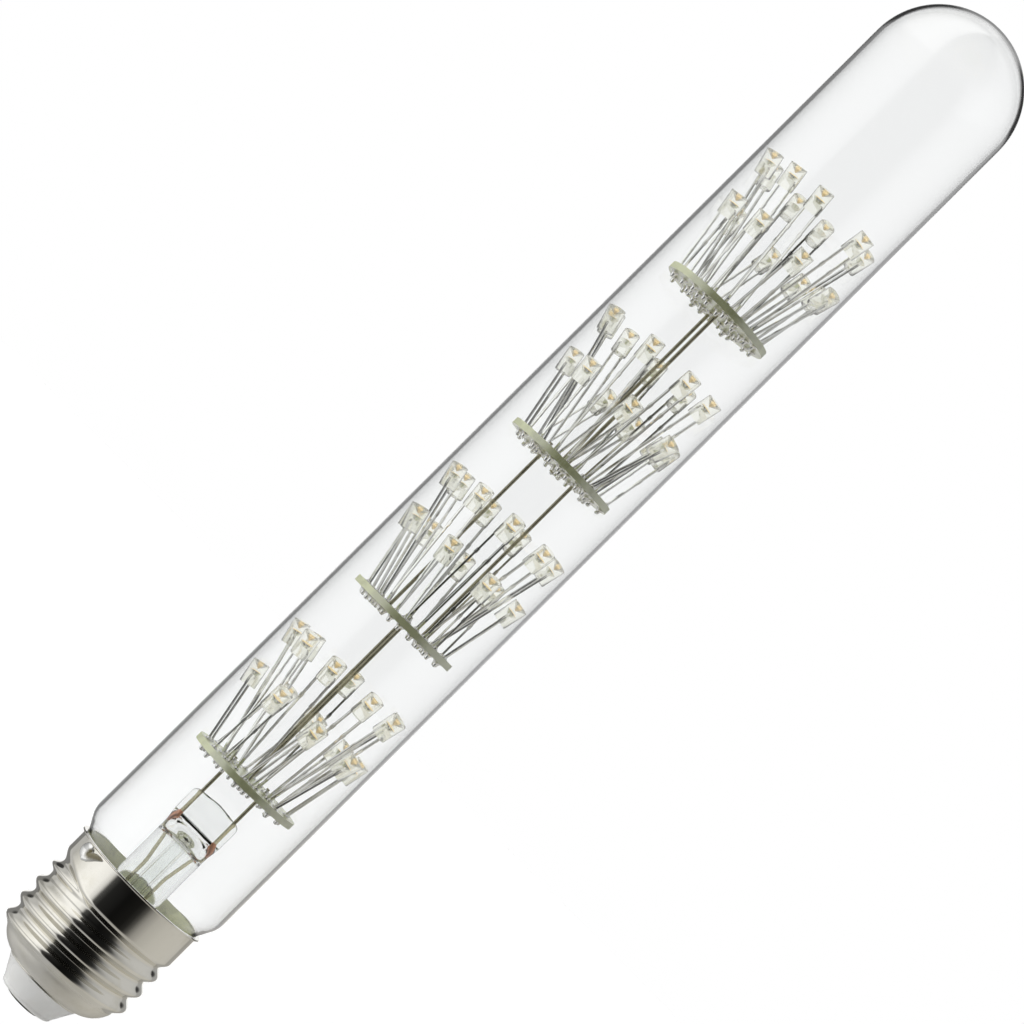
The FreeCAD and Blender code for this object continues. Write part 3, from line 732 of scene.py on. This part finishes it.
def thread_tree():
    tree, given, made = geometry_tree("rolled_thread", {label: "Float" for label in THREAD})
    x, y, z = parts_of(tree, node_in(tree, "GeometryNodeInputPosition").outputs[0])
    angle = sum_of(tree, "ARCTAN2", x, times(tree, y, -1))
    thread, skirt = thread_height(tree, given, angle, z), skirt_height(tree, given, angle, z)
    height = sum_of(tree, "SMOOTH_MAX", thread, skirt, given["Blend"])
    radius = sum_of(tree, "SQRT", sum_of(tree, "MULTIPLY_ADD", x, x, times(tree, y, y)))
    wall = sum_of(tree, "LESS_THAN", radius, sum_of(tree, "ADD", given["Root Radius"], WALL_REACH * MM))
    level = node_in(tree, "ShaderNodeCombineXYZ", {0: x, 1: y}).outputs[0]
    out = node_in(tree, "ShaderNodeVectorMath", {0: level}, operation="NORMALIZE").outputs[0]
    far = {0: out, "Scale": times(tree, height, wall)}
    push = node_in(tree, "ShaderNodeVectorMath", far, operation="SCALE").outputs[0]
    move = node_in(tree, "GeometryNodeSetPosition", {"Geometry": given["Geometry"], "Offset": push})
    painted(tree, given, made, move.outputs[0])
    return tree


print("thread height in mm:", round(THREAD["Height"] / MM, 2))

# %% Roll the shell
SHELL_SEGMENTS = 224
THREAD_ROWS = 124
INNER_ROWS = 62
SHELL_WALL = 0.3
MOUTH_R = 7.5
MOUTH_Z = 4.9
MOUTH_LIP = 0.25
MOUTH_BEVEL = 0.06
BELLY = (9.9, 6.3)
BOWL_TOP_Z = 9.4
BOWL_STEPS = 24
INNER_BOWL_STEPS = 16
SKIRT_R = 12.95
SKIRT_ROWS = (0.03, 0.2, 0.6, 0.9, 0.97, 1)
SKIRT_STEP = 0.1
DRAWN_TOP_Z = 24.10          # the tree forms the wall below this height
RIM_T = 0.35
RIM_ROUND = 0.12


def shell_profile():
    """Section of the shell: up the outside, over the rim and down the inside."""
    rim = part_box("screw_shell")[1] / MM
    lip = MOUTH_Z + MOUTH_LIP
    outside = [(MOUTH_R - SHELL_WALL, MOUTH_Z), (MOUTH_R - MOUTH_BEVEL, MOUTH_Z)]
    outside += [(MOUTH_R, MOUTH_Z + MOUTH_BEVEL), (MOUTH_R, lip)]
    outside += arc(outside[-1], BELLY, (ROOT_R, BOWL_TOP_Z), BOWL_STEPS)
    climb = DRAWN_TOP_Z - BOWL_TOP_Z
    outside += [(ROOT_R, BOWL_TOP_Z + climb * i / THREAD_ROWS) for i in range(1, THREAD_ROWS + 1)]
    under_rim = rim.z - RIM_T
    straight = under_rim - RIM_ROUND - DRAWN_TOP_Z
    outside += [(SKIRT_R, DRAWN_TOP_Z + straight * share) for share in SKIRT_ROWS]
    outside += [
        (SKIRT_R + RIM_ROUND / 3, under_rim - RIM_ROUND / 3), (SKIRT_R + RIM_ROUND, under_rim),
        (rim.x - RIM_ROUND, under_rim), (rim.x, under_rim + RIM_ROUND),
        (rim.x, rim.z - RIM_ROUND), (rim.x - RIM_ROUND, rim.z),
    ]
    inner_r = ROOT_R - SHELL_WALL
    fall = DRAWN_TOP_Z - (BOWL_TOP_Z + SHELL_WALL)
    inside = [(SKIRT_R - SHELL_WALL, rim.z), (SKIRT_R - SHELL_WALL, DRAWN_TOP_Z + SKIRT_STEP)]
    inside += [(inner_r, DRAWN_TOP_Z - fall * i / INNER_ROWS) for i in range(INNER_ROWS + 1)]
    slant = SHELL_WALL / math.sqrt(2)
    belly = (BELLY[0] - slant, BELLY[1] + slant)
    inside += arc(inside[-1], belly, (MOUTH_R - SHELL_WALL, lip + SHELL_WALL), INNER_BOWL_STEPS)
    return outside + inside


shell = placed("rolled_screw_shell", turned("rolled_screw_shell", shell_profile(), SHELL_SEGMENTS))
grown(shell, thread_tree(), {**THREAD, "Finish": FINISH["nickel_shell"]})
handed_in(shell, "nickel_shell", "screw_shell")

# %% [markdown]
# ## The glass tube
# The tube is drawn, closed with a round dome and necked down to fit the cap. Both walls are in the mesh: light
# that enters close to the rim of the tube is caught in the wall, and that makes the thin dark line down each
# side.

# %% Blow the tube
GLASS_SEGMENTS = 256
TUBE_WALL = 0.65
NECK_R = 11.0
NECK_TAPER = math.radians(29)
NECK_TOP_Z = 25.10
SHOULDER_ROUND = 5.0
SHOULDER_STEPS = 10
DOME_STEPS = 40


def tube_side(inset, radius, top, foot):
    """Outer or inner side of the tube, from the neck's end to the top of the dome."""
    half = NECK_TAPER / 2
    tube_r = radius - inset
    neck_r = NECK_R - inset
    slope = math.tan(NECK_TAPER)
    corner_z = NECK_TOP_Z + (radius - NECK_R) / slope - inset * math.tan(half)
    bend = SHOULDER_ROUND - inset
    cut = bend * math.tan(half)
    low = (tube_r - math.sin(NECK_TAPER) * cut, corner_z - math.cos(NECK_TAPER) * cut)
    high = (tube_r, corner_z + cut)
    middle = (tube_r - bend + bend * math.cos(half), high[1] - bend * math.sin(half))
    side = [(neck_r, foot), (neck_r, corner_z - (tube_r - neck_r) / slope), low]
    side += arc(low, middle, high, SHOULDER_STEPS)
    dome_z = top - radius
    rise = [math.pi / 2 * i / DOME_STEPS for i in range(DOME_STEPS)]
    side += [(tube_r * math.cos(a), dome_z + tube_r * math.sin(a)) for a in rise]
    return side + [(0, dome_z + tube_r)]


low, high = (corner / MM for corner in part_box("glass_tube"))
outside, inside = (tube_side(inset, high.x, high.z, low.z) for inset in (0, TUBE_WALL))
wall = turned("blown_tube", outside + inside[::-1], GLASS_SEGMENTS)
handed_in(placed("blown_tube", faced(wall, "clear_glass")), "clear_glass", "glass_tube")

# %% [markdown]
# ## The stem
# The wires go into the bulb through the stem: a glass tube, flared at its foot, whose top was pinched flat while
# it was soft, so the glass closed round them. The press is built as slices that change from a circle into a flat
# slot with round ends.

# %% Shape the press
STEM_R = 4.75
STEM_H = 17.8
PINCH_H = 3.0
PINCH_STEPS = 12
PRESS_H = 4.7
PRESS_W = 10.2
PRESS_T = 3.0
PRESS_MIDDLE = 0.35          # height of a slice between the pinch and the rounded top
PRESS_SEGMENTS = 96
PRESS_ROUND = 1.1
ROUND_STEPS = 6
SLOT_END = 2.2               # how soon a slot's round end goes over into its flat side
CROWN_H = 0.35               # the top bulges between the wires
CROWN_REACH = 2.4


def slot_ring(share, inset):
    """Ring of points between the stem's circle, at share 0, and the flat press, at share 1."""
    ring = []
    flat = PRESS_W / 2 - PRESS_T / 2
    reach = PRESS_T / 2 - inset
    for a in angles(PRESS_SEGMENTS):
        ahead = math.copysign(flat, math.cos(a)) * min(1, abs(math.cos(a)) * SLOT_END)
        slot = Vector((ahead + reach * math.cos(a), reach * math.sin(a)))
        ring.append((Vector((math.cos(a), math.sin(a))) * STEM_R).lerp(slot, share))
    return ring


def press_rings(pinch_z):
    """The pinch, the flat press and its rounded top with a low crown, as rings of points."""
    slices = []
    for i in range(PINCH_STEPS + 1):
        t = i / PINCH_STEPS
        slices.append((pinch_z + PINCH_H * t, slot_ring(t * t * (3 - 2 * t), 0)))
    slices.append((pinch_z + PINCH_H + PRESS_H * PRESS_MIDDLE, slot_ring(1, 0)))
    shoulder = pinch_z + PINCH_H + PRESS_H - PRESS_ROUND
    for i in range(ROUND_STEPS + 1):
        a = math.pi / 2 * i / ROUND_STEPS
        slices.append((shoulder + PRESS_ROUND * math.sin(a), slot_ring(1, PRESS_ROUND * (1 - math.cos(a)))))
    rings = []
    for z, ring in slices:
        crown = CROWN_H * max(0, z - shoulder) / PRESS_ROUND
        rings.append([(p.x, p.y, z + crown * max(0, 1 - (p.x / CROWN_REACH) ** 2)) for p in ring])
    return rings


print("slices of the press:", len(press_rings(0)))

# %% Press the stem
STEM_WALL = 0.8
FLARE_H = 4.8
FLARE_VIA = (1.5, 1.45)      # a point of the flare, out from the stem and up from its foot
FLARE_STEPS = 12
FLARE_INNER = (0.8, 0.6)     # how far the inner side is in and down, in walls
VAULT_FOOT_H = 16.1          # the bore closes in a low vault under the press
VAULT_H = 1.85
VAULT_STEPS = 12


def stem_profile(foot):
    """Down the outside of the stem, round the foot of its flare and up the bore into the vault."""
    flare_top = (STEM_R, foot + FLARE_H)
    via = (STEM_R + FLARE_VIA[0], foot + FLARE_VIA[1])
    outer = [flare_top] + arc(flare_top, via, (NECK_R - STEM_WALL, foot), FLARE_STEPS)
    across, down = (STEM_WALL * share for share in FLARE_INNER)
    inner = [(x - across, z - down) for x, z in outer]
    profile = [(STEM_R, foot + STEM_H)] + outer + [(NECK_R, foot), (NECK_R, foot - down)] + inner[::-1]
    bore = STEM_R - STEM_WALL
    vault = [math.pi / 2 * i / VAULT_STEPS for i in range(VAULT_STEPS)]
    profile += [(bore, foot + FLARE_H)]
    return profile + [(bore * math.cos(a), foot + VAULT_FOOT_H + VAULT_H * math.sin(a)) for a in vault]


def press_stem():
    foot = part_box("glass_tube")[0].z / MM
    form = bmesh.new()
    skinned(form, [corners(form, ring) for ring in press_rings(foot + STEM_H)], foot=False)
    circles = []
    for radius, height in stem_profile(foot):
        around = angles(PRESS_SEGMENTS)
        circles.append(corners(form, [(radius * math.cos(a), radius * math.sin(a), height) for a in around]))
    skinned(form, circles, foot=False)
    return mesh_from(form, "pressed_stem", sharp_degrees=60)


handed_in(placed("pressed_stem", faced(press_stem(), "stem_glass")), "stem_glass", "stem_glass")

# %% [markdown]
# ## Sleeves in the press
# Glass doesn't stick to plain nickel wire, so the part of each lead-in that runs through the press is copper-clad
# and oxidised to a brownish red. The red shows through the glass on both sides of the press.

# %% Slip the sleeves on
SLEEVE_R = 0.35
SLEEVE_PATH = ((3.52, 38.35), (3.68, 39.25), (3.77, 39.8), (3.80, 40.3), (3.80, 41.0))
SLEEVE_SEGMENTS = 20


def swept(form, middles, radii, segments, out=None, flat=1):
    """Closed round bar along a path in millimetres, flattened along out if that is given."""
    rings = []
    for i, middle in enumerate(middles):
        run = middles[min(i + 1, len(middles) - 1)] - middles[max(i - 1, 0)]
        lift = out[i] if out else Vector((0, -1, 0))
        across = run.normalized().cross(lift).normalized()
        rings.append(corners(form, [
            middle + across * (radii[i] * math.cos(a)) + lift * (radii[i] * flat * math.sin(a))
            for a in angles(segments)
        ]))
    skinned(form, rings)


sleeves = bmesh.new()
for hand in (-1, 1):
    path = [Vector((hand * x, 0, z)) for x, z in SLEEVE_PATH]
    swept(sleeves, path, [SLEEVE_R] * len(path), SLEEVE_SEGMENTS)
sleeves = mesh_from(sleeves, "press_sleeves", sharp_degrees=50)
handed_in(placed("press_sleeves", faced(sleeves, "copper_wire")), "copper_wire")

# %% [markdown]
# ## Where each LED stands
# The LEDs stand in two rings on each board and fan out until their heads nearly touch the glass. Their feet are
# spaced evenly, and the heads lean to the directions seen in the photograph. The list holds for each LED its
# foot, the way that it leans, the level line from leg to leg, and the length of its free legs.

# %% Work out the LEDs
HEAD_R = 1.55
HEAD_L = 4.5
HEAD_GLASS_GAP = 0.3
TALL_ROOT_R = 6.1
TALL_RISE = 20.4
SHORT_ROOT_R = 9.0
SHORT_RISE = 10.8
REACH_TRIES = 30
TALL_AZIMUTHS = (
    (-135, -92, -49, -13, 29, 66, 110, 175),
    (-164, -123, -90, -30, 7, 46, 100, 159),
    (-142, -105, -80, -16, 26, 62, 144, 180),
    (-164, -120, -76, -36, -4, 49, 103, 163),
)
SHORT_AZIMUTHS = (
    (-149, -90, -31, 11, 58, 90, 136, 174),
    (-139, -95, -67, -15, 29, 82, 139, 178),
    (-163, -97, -45, 4, 55, 98, 125, 162),
    (-178, -128, -66, -27, 18, 78, 109, 145),
)


def on_circle(radius, azimuth, height):
    angle = math.radians(azimuth)
    return Vector((radius * math.sin(angle), -radius * math.cos(angle), height))


def ring_of_leds(root_r, rise, azimuths, level):
    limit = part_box("glass_tube")[1].x / MM - TUBE_WALL - HEAD_GLASS_GAP
    step = 360 / len(azimuths)
    first = sum(azimuths) / len(azimuths) - step * (len(azimuths) - 1) / 2
    leds = []
    for i, azimuth in enumerate(azimuths):
        foot = on_circle(root_r, first + i * step, level)
        reach = limit
        for _ in range(REACH_TRIES):
            head = on_circle(reach, azimuth, level + rise)
            way = (head - foot).normalized()
            top = head + way * HEAD_L
            reach += limit - math.hypot(top.x, top.y) - HEAD_R * way.z
        leds.append((foot, way, Vector((-way.y, way.x, 0)).normalized(), (head - foot).length))
    return leds


BOARDS = [[corner.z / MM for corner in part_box("board_" + str(n + 1))] for n in range(len(TALL_AZIMUTHS))]
BOARD_T = BOARDS[0][1] - BOARDS[0][0]
LEDS = []
for (under, level), tall, short in zip(BOARDS, TALL_AZIMUTHS, SHORT_AZIMUTHS):
    LEDS += ring_of_leds(TALL_ROOT_R, TALL_RISE, tall, level)
    LEDS += ring_of_leds(SHORT_ROOT_R, SHORT_RISE, short, level)
print("LEDs:", len(LEDS))

# %% [markdown]
# ## Planting repeated pieces
# One small shape is made for each kind of piece, such as a lens, a leg or a solder joint. A tree then plants it
# on every point of a cloud. Three attributes on the points say which way the shape stands, which way it faces and
# how far it is stretched.


# %% Build the planting tree
def planting_tree():
    tree, given, made = geometry_tree("plant_shapes", {"Shape": "Object", "Width": "Float"})

    def attribute(name, kind):
        node = node_in(tree, "GeometryNodeInputNamedAttribute", {"Name": name}, data_type=kind)
        return next(s for s in node.outputs if s.enabled and s.name == "Attribute")

    ways = {0: attribute("way", "FLOAT_VECTOR"), 1: attribute("side", "FLOAT_VECTOR")}
    turn = node_in(tree, "FunctionNodeAxesToRotation", ways, primary_axis="Z", secondary_axis="X")
    sizes = {0: given["Width"], 1: given["Width"], 2: attribute("stretch", "FLOAT")}
    plant = node_in(tree, "GeometryNodeInstanceOnPoints", {
        "Points": given["Geometry"],
        "Instance": node_in(tree, "GeometryNodeObjectInfo", {"Object": given["Shape"]}).outputs["Geometry"],
        "Rotation": turn.outputs[0],
        "Scale": node_in(tree, "ShaderNodeCombineXYZ", sizes).outputs[0],
    })
    painted(tree, given, made, plant.outputs[0])
    return tree


PLANTING = planting_tree()


def planted(name, shape_mesh, points, slot, *nodes):
    """Plants a shape on points, each a place in millimetres, a way, a side and a stretch."""
    places, ways, sides, stretches = zip(*points)
    cloud = bpy.data.meshes.new(name)
    cloud.from_pydata([place * MM for place in places], [], [])
    for label, vectors in (("way", ways), ("side", sides)):
        data = cloud.attributes.new(label, "FLOAT_VECTOR", "POINT").data
        data.foreach_set("vector", [c for vector in vectors for c in vector])
    cloud.attributes.new("stretch", "FLOAT", "POINT").data.foreach_set("value", stretches)
    piece = placed(name, cloud)
    shape = placed(name + "_shape", shape_mesh)
    grown(piece, PLANTING, {"Shape": shape, "Finish": FINISH[slot], "Width": 1.0})
    bpy.data.objects.remove(shape)
    handed_in(piece, slot, *nodes)


def nodes_named(word):
    return [name for name in frame["nodes"] if word in name]


def in_each_led(depth):
    """A place on the axis of every LED, so far into its lens."""
    return [(foot + way * (length + depth), way, side, 1) for foot, way, side, length in LEDS]


print("nodes in the planting tree:", len(PLANTING.nodes))

# %% [markdown]
# ## LED lenses
# Each LED is a cylinder of clear resin with a conical dish in its top. The dish throws the light out sideways,
# and seen from the side it shows the yellow phosphor as a small wedge at the top of the lens.

# %% Cast the lenses
LENS_SEGMENTS = 28
DISH_R = 1.25
DISH_H = 1.3
LENS_ROUND = 0.1
LENS_DRAFT = 0.03            # the mould is a little narrower at the foot

lens = [(0, HEAD_L - DISH_H), (DISH_R, HEAD_L), (HEAD_R - LENS_ROUND, HEAD_L), (HEAD_R, HEAD_L - LENS_ROUND)]
lens += [(HEAD_R - LENS_DRAFT, LENS_ROUND), (HEAD_R - LENS_ROUND, 0), (0, 0)]
lens = turned("lens_shape", lens, LENS_SEGMENTS)
planted("led_lenses", lens, in_each_led(0), "led_lens", *nodes_named("led_heads"))

# %% [markdown]
# ## LED legs and lead frames
# The legs are stamped from tinned steel strip. Each has a short stub where it was cut from its neighbour, a
# little under the lens. Inside the lens one leg ends in a post and the other widens into the anvil that carries
# the cup.

# %% Stamp the legs
LEG_PITCH = 2.54
LEG_W = 0.42
LEG_STICK_OUT = 1.0
LEG_OVERLAP = 0.2            # how far the leg goes on into the lens
CHAMFER = 0.07
STUB_DROP = 4.6
STUB_L = 0.9
STUB_W = 0.62
STUB_THIN = 0.9              # thinner than the leg, so that no two faces lie in one plane
SHARP = 25                   # degrees


def prism(name, rings):
    form = bmesh.new()
    skinned(form, [corners(form, ring) for ring in rings])
    return mesh_from(form, name, SHARP)


def bar_mesh(width, depth, height):
    """Chamfered bar that stands on the origin."""
    half_w, half_d = width / 2, depth / 2
    ring = [(half_w, half_d - CHAMFER), (half_w - CHAMFER, half_d)]
    ring += [(-x, y) for x, y in ring[::-1]]
    ring += [(-x, -y) for x, y in ring]
    return prism("bar_shape", [[(x, y, z) for x, y in ring] for z in (0, height)])


LEGS = [(i, hand, foot + side * (hand * LEG_PITCH / 2), way, side, length)
        for i, (foot, way, side, length) in enumerate(LEDS) for hand in (-1, 1)]
legs = []
stubs = []
for i, hand, root, way, side, length in LEGS:
    drop = (BOARD_T + LEG_STICK_OUT) / way.z
    legs.append((root - way * drop, way, side, drop + length + LEG_OVERLAP))
    stubs.append((root + way * (length - STUB_DROP), way, side, 1))
planted("led_legs", bar_mesh(LEG_W, LEG_W, 1), legs, "led_lead", *nodes_named("led_legs"))
planted("led_leg_stubs", bar_mesh(STUB_W, LEG_W * STUB_THIN, STUB_L), stubs, "led_lead")

# %% Stamp the lead frames
PLATE_T = 0.42
ANVIL = ((1.02, 0.0), (1.52, 0.0), (1.52, 1.2), (0.9, 2.0), (-0.5, 2.0), (-0.42, 1.6), (0.8, 1.0))
POST = ((-1.52, 0.0), (-1.02, 0.0), (-0.84, 1.3), (-0.80, 2.3), (-1.2, 2.3), (-1.52, 1.4))

plates = bmesh.new()
for outline in (ANVIL, POST):
    sheets = [[(x, y, z) for x, z in outline] for y in (-PLATE_T / 2, PLATE_T / 2)]
    skinned(plates, [corners(plates, sheet) for sheet in sheets])
planted("led_lead_frames", mesh_from(plates, "plates_shape", SHARP), in_each_led(0), "led_lead")

# %% [markdown]
# ## Cups and phosphor
# On the anvil sits a bright cup, filled level with orange-yellow phosphor over the chip.

# %% Fill the cups
CUP_SEAT = 2.0               # height of the anvil in the lens
CUP_SEGMENTS = 20
CUP_FOOT_R = 0.42
CUP_TOP_R = 0.85
CUP_H = 0.7
CUP_LIP = 0.08
CUP_DEPTH = 0.1
FILL_LIP = 1.2               # the phosphor stays clear of the lip, in lips
FILL_DEPTH = 0.09
PHOSPHOR_RISE = 0.16
ROUNDING = 0.7               # share of the width and of the rise where the phosphor bends over

inner_r, floor_z = CUP_TOP_R - CUP_LIP, CUP_H - CUP_DEPTH
cup = [(0, 0), (CUP_FOOT_R, 0), (CUP_TOP_R, CUP_H), (inner_r, CUP_H), (inner_r, floor_z), (0, floor_z)]
cup = turned("cup_shape", cup, CUP_SEGMENTS)
planted("led_cups", cup, in_each_led(CUP_SEAT), "led_lead", *nodes_named("led_cups"))
fill_r = CUP_TOP_R - CUP_LIP * FILL_LIP
fill = [(0, CUP_H - FILL_DEPTH), (fill_r, CUP_H - FILL_DEPTH), (fill_r, CUP_H)]
fill += [(fill_r * ROUNDING, CUP_H + PHOSPHOR_RISE * ROUNDING), (0, CUP_H + PHOSPHOR_RISE)]
planted("phosphor_fill", turned("fill_shape", fill, CUP_SEGMENTS), in_each_led(CUP_SEAT), "phosphor")

# %% [markdown]
# ## Solder joints
# Every leg and wire is soldered under its board: a tin ring on the board, a hollow-sided cone up the leg and a
# blunt tip where it was cut. No two are the same size, so the stretch varies from joint to joint by a fixed rule.

# %% Solder the legs
JOINT_SEGMENTS = 12
JOINT_SHARP = 60             # degrees
JOINT = (                    # radius and height
    (0, 0.02), (0.92, 0.02), (0.92, -0.05), (0.74, -0.07), (0.50, -0.22), (0.38, -0.52), (0.33, -0.86),
    (0.22, -1.02), (0, -1.05),
)
LEG_STRETCH = (0.95, 0.12)   # mean and spread of the joints under the board, then of those on it
LEG_TOP_STRETCH = (-0.35, 0.3)
WAVES = (12.9898, 78.233, 4)  # odd numbers, so that no size comes back
UP = Vector((0, 0, 1))
ALONG = Vector((1, 0, 0))


def uneven(index, spread):
    """Number near 1 that differs from piece to piece and is the same in each run."""
    first, second, pull = WAVES
    return 1 + spread * math.sin(index * first + math.sin(index * second) * pull)


def joint(place, index, mean, spread):
    """A joint to plant; it hangs down, or stands up where the mean is below 0."""
    return place, UP, ALONG, mean * uneven(index, spread)


joints = []
for i, hand, root, way, side, length in LEGS:
    joints.append(joint(root - way * (BOARD_T / way.z), 2 * i + hand, *LEG_STRETCH))
    joints.append(joint(root, 3 * i + hand, *LEG_TOP_STRETCH))
planted("leg_solder_joints", turned("joint_shape", JOINT, JOINT_SEGMENTS, JOINT_SHARP), joints, "solder")

# %% Solder the wires
WIRE_JOINT_WIDTH = 1.25
WIRE_R_AT = 3.8
WIRE_AZIMUTHS = (90.0, 4.0, 90.0, 8.0)   # one wire of the pair that comes up to each board
WIRE_SPREAD = 0.15
STUB_STRETCH = (0.5, 0)


def pair(tier):
    """Where the two wires stand that come up to a board; they are opposite each other."""
    return [WIRE_AZIMUTHS[tier] + turn for turn in (0, 180)] if tier < len(BOARDS) else []


wire_joints = []
for tier, (under, level) in enumerate(BOARDS):
    for azimuth in pair(tier):
        top, foot = (on_circle(WIRE_R_AT, azimuth, z) for z in (level, under))
        wire_joints.append(joint(top, tier + azimuth, -1, WIRE_SPREAD))
        wire_joints.append(joint(foot, 0, *STUB_STRETCH))
    for azimuth in pair(tier + 1):
        wire_joints.append(joint(on_circle(WIRE_R_AT, azimuth, under), tier - azimuth, 1, WIRE_SPREAD))
wide = turned("joint_shape", [(r * WIRE_JOINT_WIDTH, z) for r, z in JOINT], JOINT_SEGMENTS, JOINT_SHARP)
planted("wire_solder_joints", wide, wire_joints, "solder")

# %% [markdown]
# ## Solder on the skirt
# The side wire comes out under the rim and is soldered to the skirt with one drop, which has run down and aside
# in a tail. The drop is a ball and a tapered sweep along the skirt. A voxel remesh melts the two together, and
# smoothing gives the skin that liquid tin has.

# %% Shape the drop
BEAD = (-51.5, 26.2)         # azimuth and height of the drop's middle
BEAD_R = 1.6
BEAD_TALL = 0.92
BEAD_PROUD = 0.8
BEAD_SEGMENTS = (32, 20)
TAIL = (                     # azimuth, height and radius along the tail
    (-52.0, 25.5, 0.80), (-49.0, 25.25, 0.88), (-46.0, 25.6, 0.90), (-43.0, 26.1, 0.85),
    (-39.5, 26.6, 0.68), (-36.0, 26.9, 0.45), (-32.5, 27.1, 0.16),
)
TAIL_FLAT = 0.75
TAIL_SINK = 0.1              # its middle lies in the sheet
TAIL_SEGMENTS = 16
DROP_VOXEL = 0.07
DROP_SMOOTHING = 5


def melted_drop():
    """Ball and tail, melted together and smoothed."""
    form = bmesh.new()
    bmesh.ops.create_uvsphere(form, u_segments=BEAD_SEGMENTS[0], v_segments=BEAD_SEGMENTS[1], radius=1)
    for vertex in form.verts:
        u, v, w = vertex.co
        azimuth = BEAD[0] + math.degrees(u * BEAD_R / SKIRT_R)
        vertex.co = on_circle(SKIRT_R + w * BEAD_PROUD, azimuth, BEAD[1] + v * BEAD_R * BEAD_TALL) * MM
    middles = [on_circle(SKIRT_R - TAIL_SINK, azimuth, height) for azimuth, height, radius in TAIL]
    out = [on_circle(1, azimuth, 0) for azimuth, height, radius in TAIL]
    swept(form, middles, [radius for azimuth, height, radius in TAIL], TAIL_SEGMENTS, out, TAIL_FLAT)
    drop = placed("skirt_solder", mesh_from(form, "skirt_solder", sharp_degrees=80))
    melt = drop.modifiers.new("melt", "REMESH")
    melt.mode = "VOXEL"
    melt.voxel_size = DROP_VOXEL * MM
    melt.use_smooth_shade = True
    drop.modifiers.new("relax", "SMOOTH").iterations = DROP_SMOOTHING
    return drop


drop = melted_drop()
print("modifiers on the drop:", len(drop.modifiers))

# %% Darken patches of the tail
DARK_PATCHES = (                  # azimuth, height and reach of the dark brown patches
    (-46.2, 26.6, 0.55), (-45.4, 26.1, 0.75), (-43.6, 26.15, 0.85), (-42.0, 26.4, 0.90), (-40.0, 26.6, 0.85),
    (-38.0, 26.8, 0.75), (-36.0, 26.95, 0.70), (-34.0, 27.05, 0.60),
)
PATCH_PROUD = 0.4             # its middle lies so far over the skirt
PATCH_FULL = 1.6              # value in the middle of a spot; above 1 is fully dark brown
PATCH_FADE = 1.3              # and what it loses by the edge of its reach

spots = [(on_circle(SKIRT_R + PATCH_PROUD, azimuth, height), reach) for azimuth, height, reach in DARK_PATCHES]
tin = settled(drop)
darkened = []
for vertex in tin.vertices:
    near = min((vertex.co / MM - spot).length / reach for spot, reach in spots)
    darkened.append(min(1, max(0, PATCH_FULL - near * PATCH_FADE)))
tin.attributes.new("dark_patch", "FLOAT", "POINT").data.foreach_set("value", darkened)
drop.data = faced(tin, "solder")
handed_in(drop, "solder", "side_solder")

# %% [markdown]
# ## Cement
# A ring of cement holds the neck in the cap. It was filled in as a paste and has set with a lumpy top.

# %% Fill in the cement
CEMENT_SEGMENTS = 200
CEMENT_FOOT_Z = 21.8
CEMENT_DROP = 0.25           # under the rim
CEMENT_LOW_R = 11.5          # where the skirt is still drawn in
CEMENT_HIGH_R = 12.6
CEMENT_SHOULDER = 0.15
CEMENT_TOP_H = 0.6           # the upper edges of the ring, under its lumpy top
CEMENT_STEPS = 6
CEMENT_GAP = 0.02            # to the glass
CEMENT_LUMPS = 0.12
CEMENT_LUMP_SCALE = 1.1      # lumps per millimetre
CEMENT_TOP_SLACK = 0.01
FINE_LUMPS = (0.5, 2.7)      # height and scale beside the coarse ones


def lump(point):
    share, scale = FINE_LUMPS
    return noise.noise(point) + share * noise.noise(point * scale)


def fill_cement():
    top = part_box("screw_shell")[1].z / MM - CEMENT_DROP
    slope = math.tan(NECK_TAPER)
    neck_r, below, under = NECK_R + CEMENT_GAP, NECK_TOP_Z + CEMENT_GAP, top - CEMENT_TOP_H
    at_glass = NECK_R + (top - NECK_TOP_Z) * slope + CEMENT_GAP
    profile = [(neck_r, CEMENT_FOOT_Z), (CEMENT_LOW_R, CEMENT_FOOT_Z), (CEMENT_LOW_R, DRAWN_TOP_Z)]
    profile += [(CEMENT_HIGH_R, DRAWN_TOP_Z + CEMENT_SHOULDER), (CEMENT_HIGH_R, under)]
    step = (at_glass - CEMENT_HIGH_R) / CEMENT_STEPS
    profile += [(CEMENT_HIGH_R + step * i, top) for i in range(CEMENT_STEPS + 1)]
    profile += [(neck_r + (under - below) * slope, under), (neck_r, below)]
    mesh = turned("filled_cement", profile, CEMENT_SEGMENTS)
    for vertex in mesh.vertices:
        if vertex.co.z > (top - CEMENT_TOP_SLACK) * MM:
            vertex.co.z += CEMENT_LUMPS * MM * lump(vertex.co / MM * CEMENT_LUMP_SCALE)
    return faced(mesh, "cement")


handed_in(placed("filled_cement", fill_cement()), "cement", "cement_ring")

# %% [markdown]
# ## The construction's own pieces
# Wires, boards, insulator, contact and the driver in the cap keep their construction meshes. Each takes the
# finish of its material slot from the record.

# %% Dress the remaining nodes
dressed = 0
for entry in frame["record"]["subparts"]:
    node = frame["nodes"][entry["node"]]
    if not node.hide_render:
        faced(node.data, entry["material_slot"])
        dressed += 1
print("construction nodes dressed:", dressed)

# %% [markdown]
# ## Light paths
# A look through the tube crosses many walls of glass and resin, so rays may bend often before they stop.

# %% Finish
GLASS_BOUNCES = 32
cycles = bpy.context.scene.cycles
cycles.max_bounces = GLASS_BOUNCES
cycles.transmission_bounces = GLASS_BOUNCES
cycles.transparent_max_bounces = GLASS_BOUNCES
bpy.context.scene.view_settings.view_transform = "Standard"
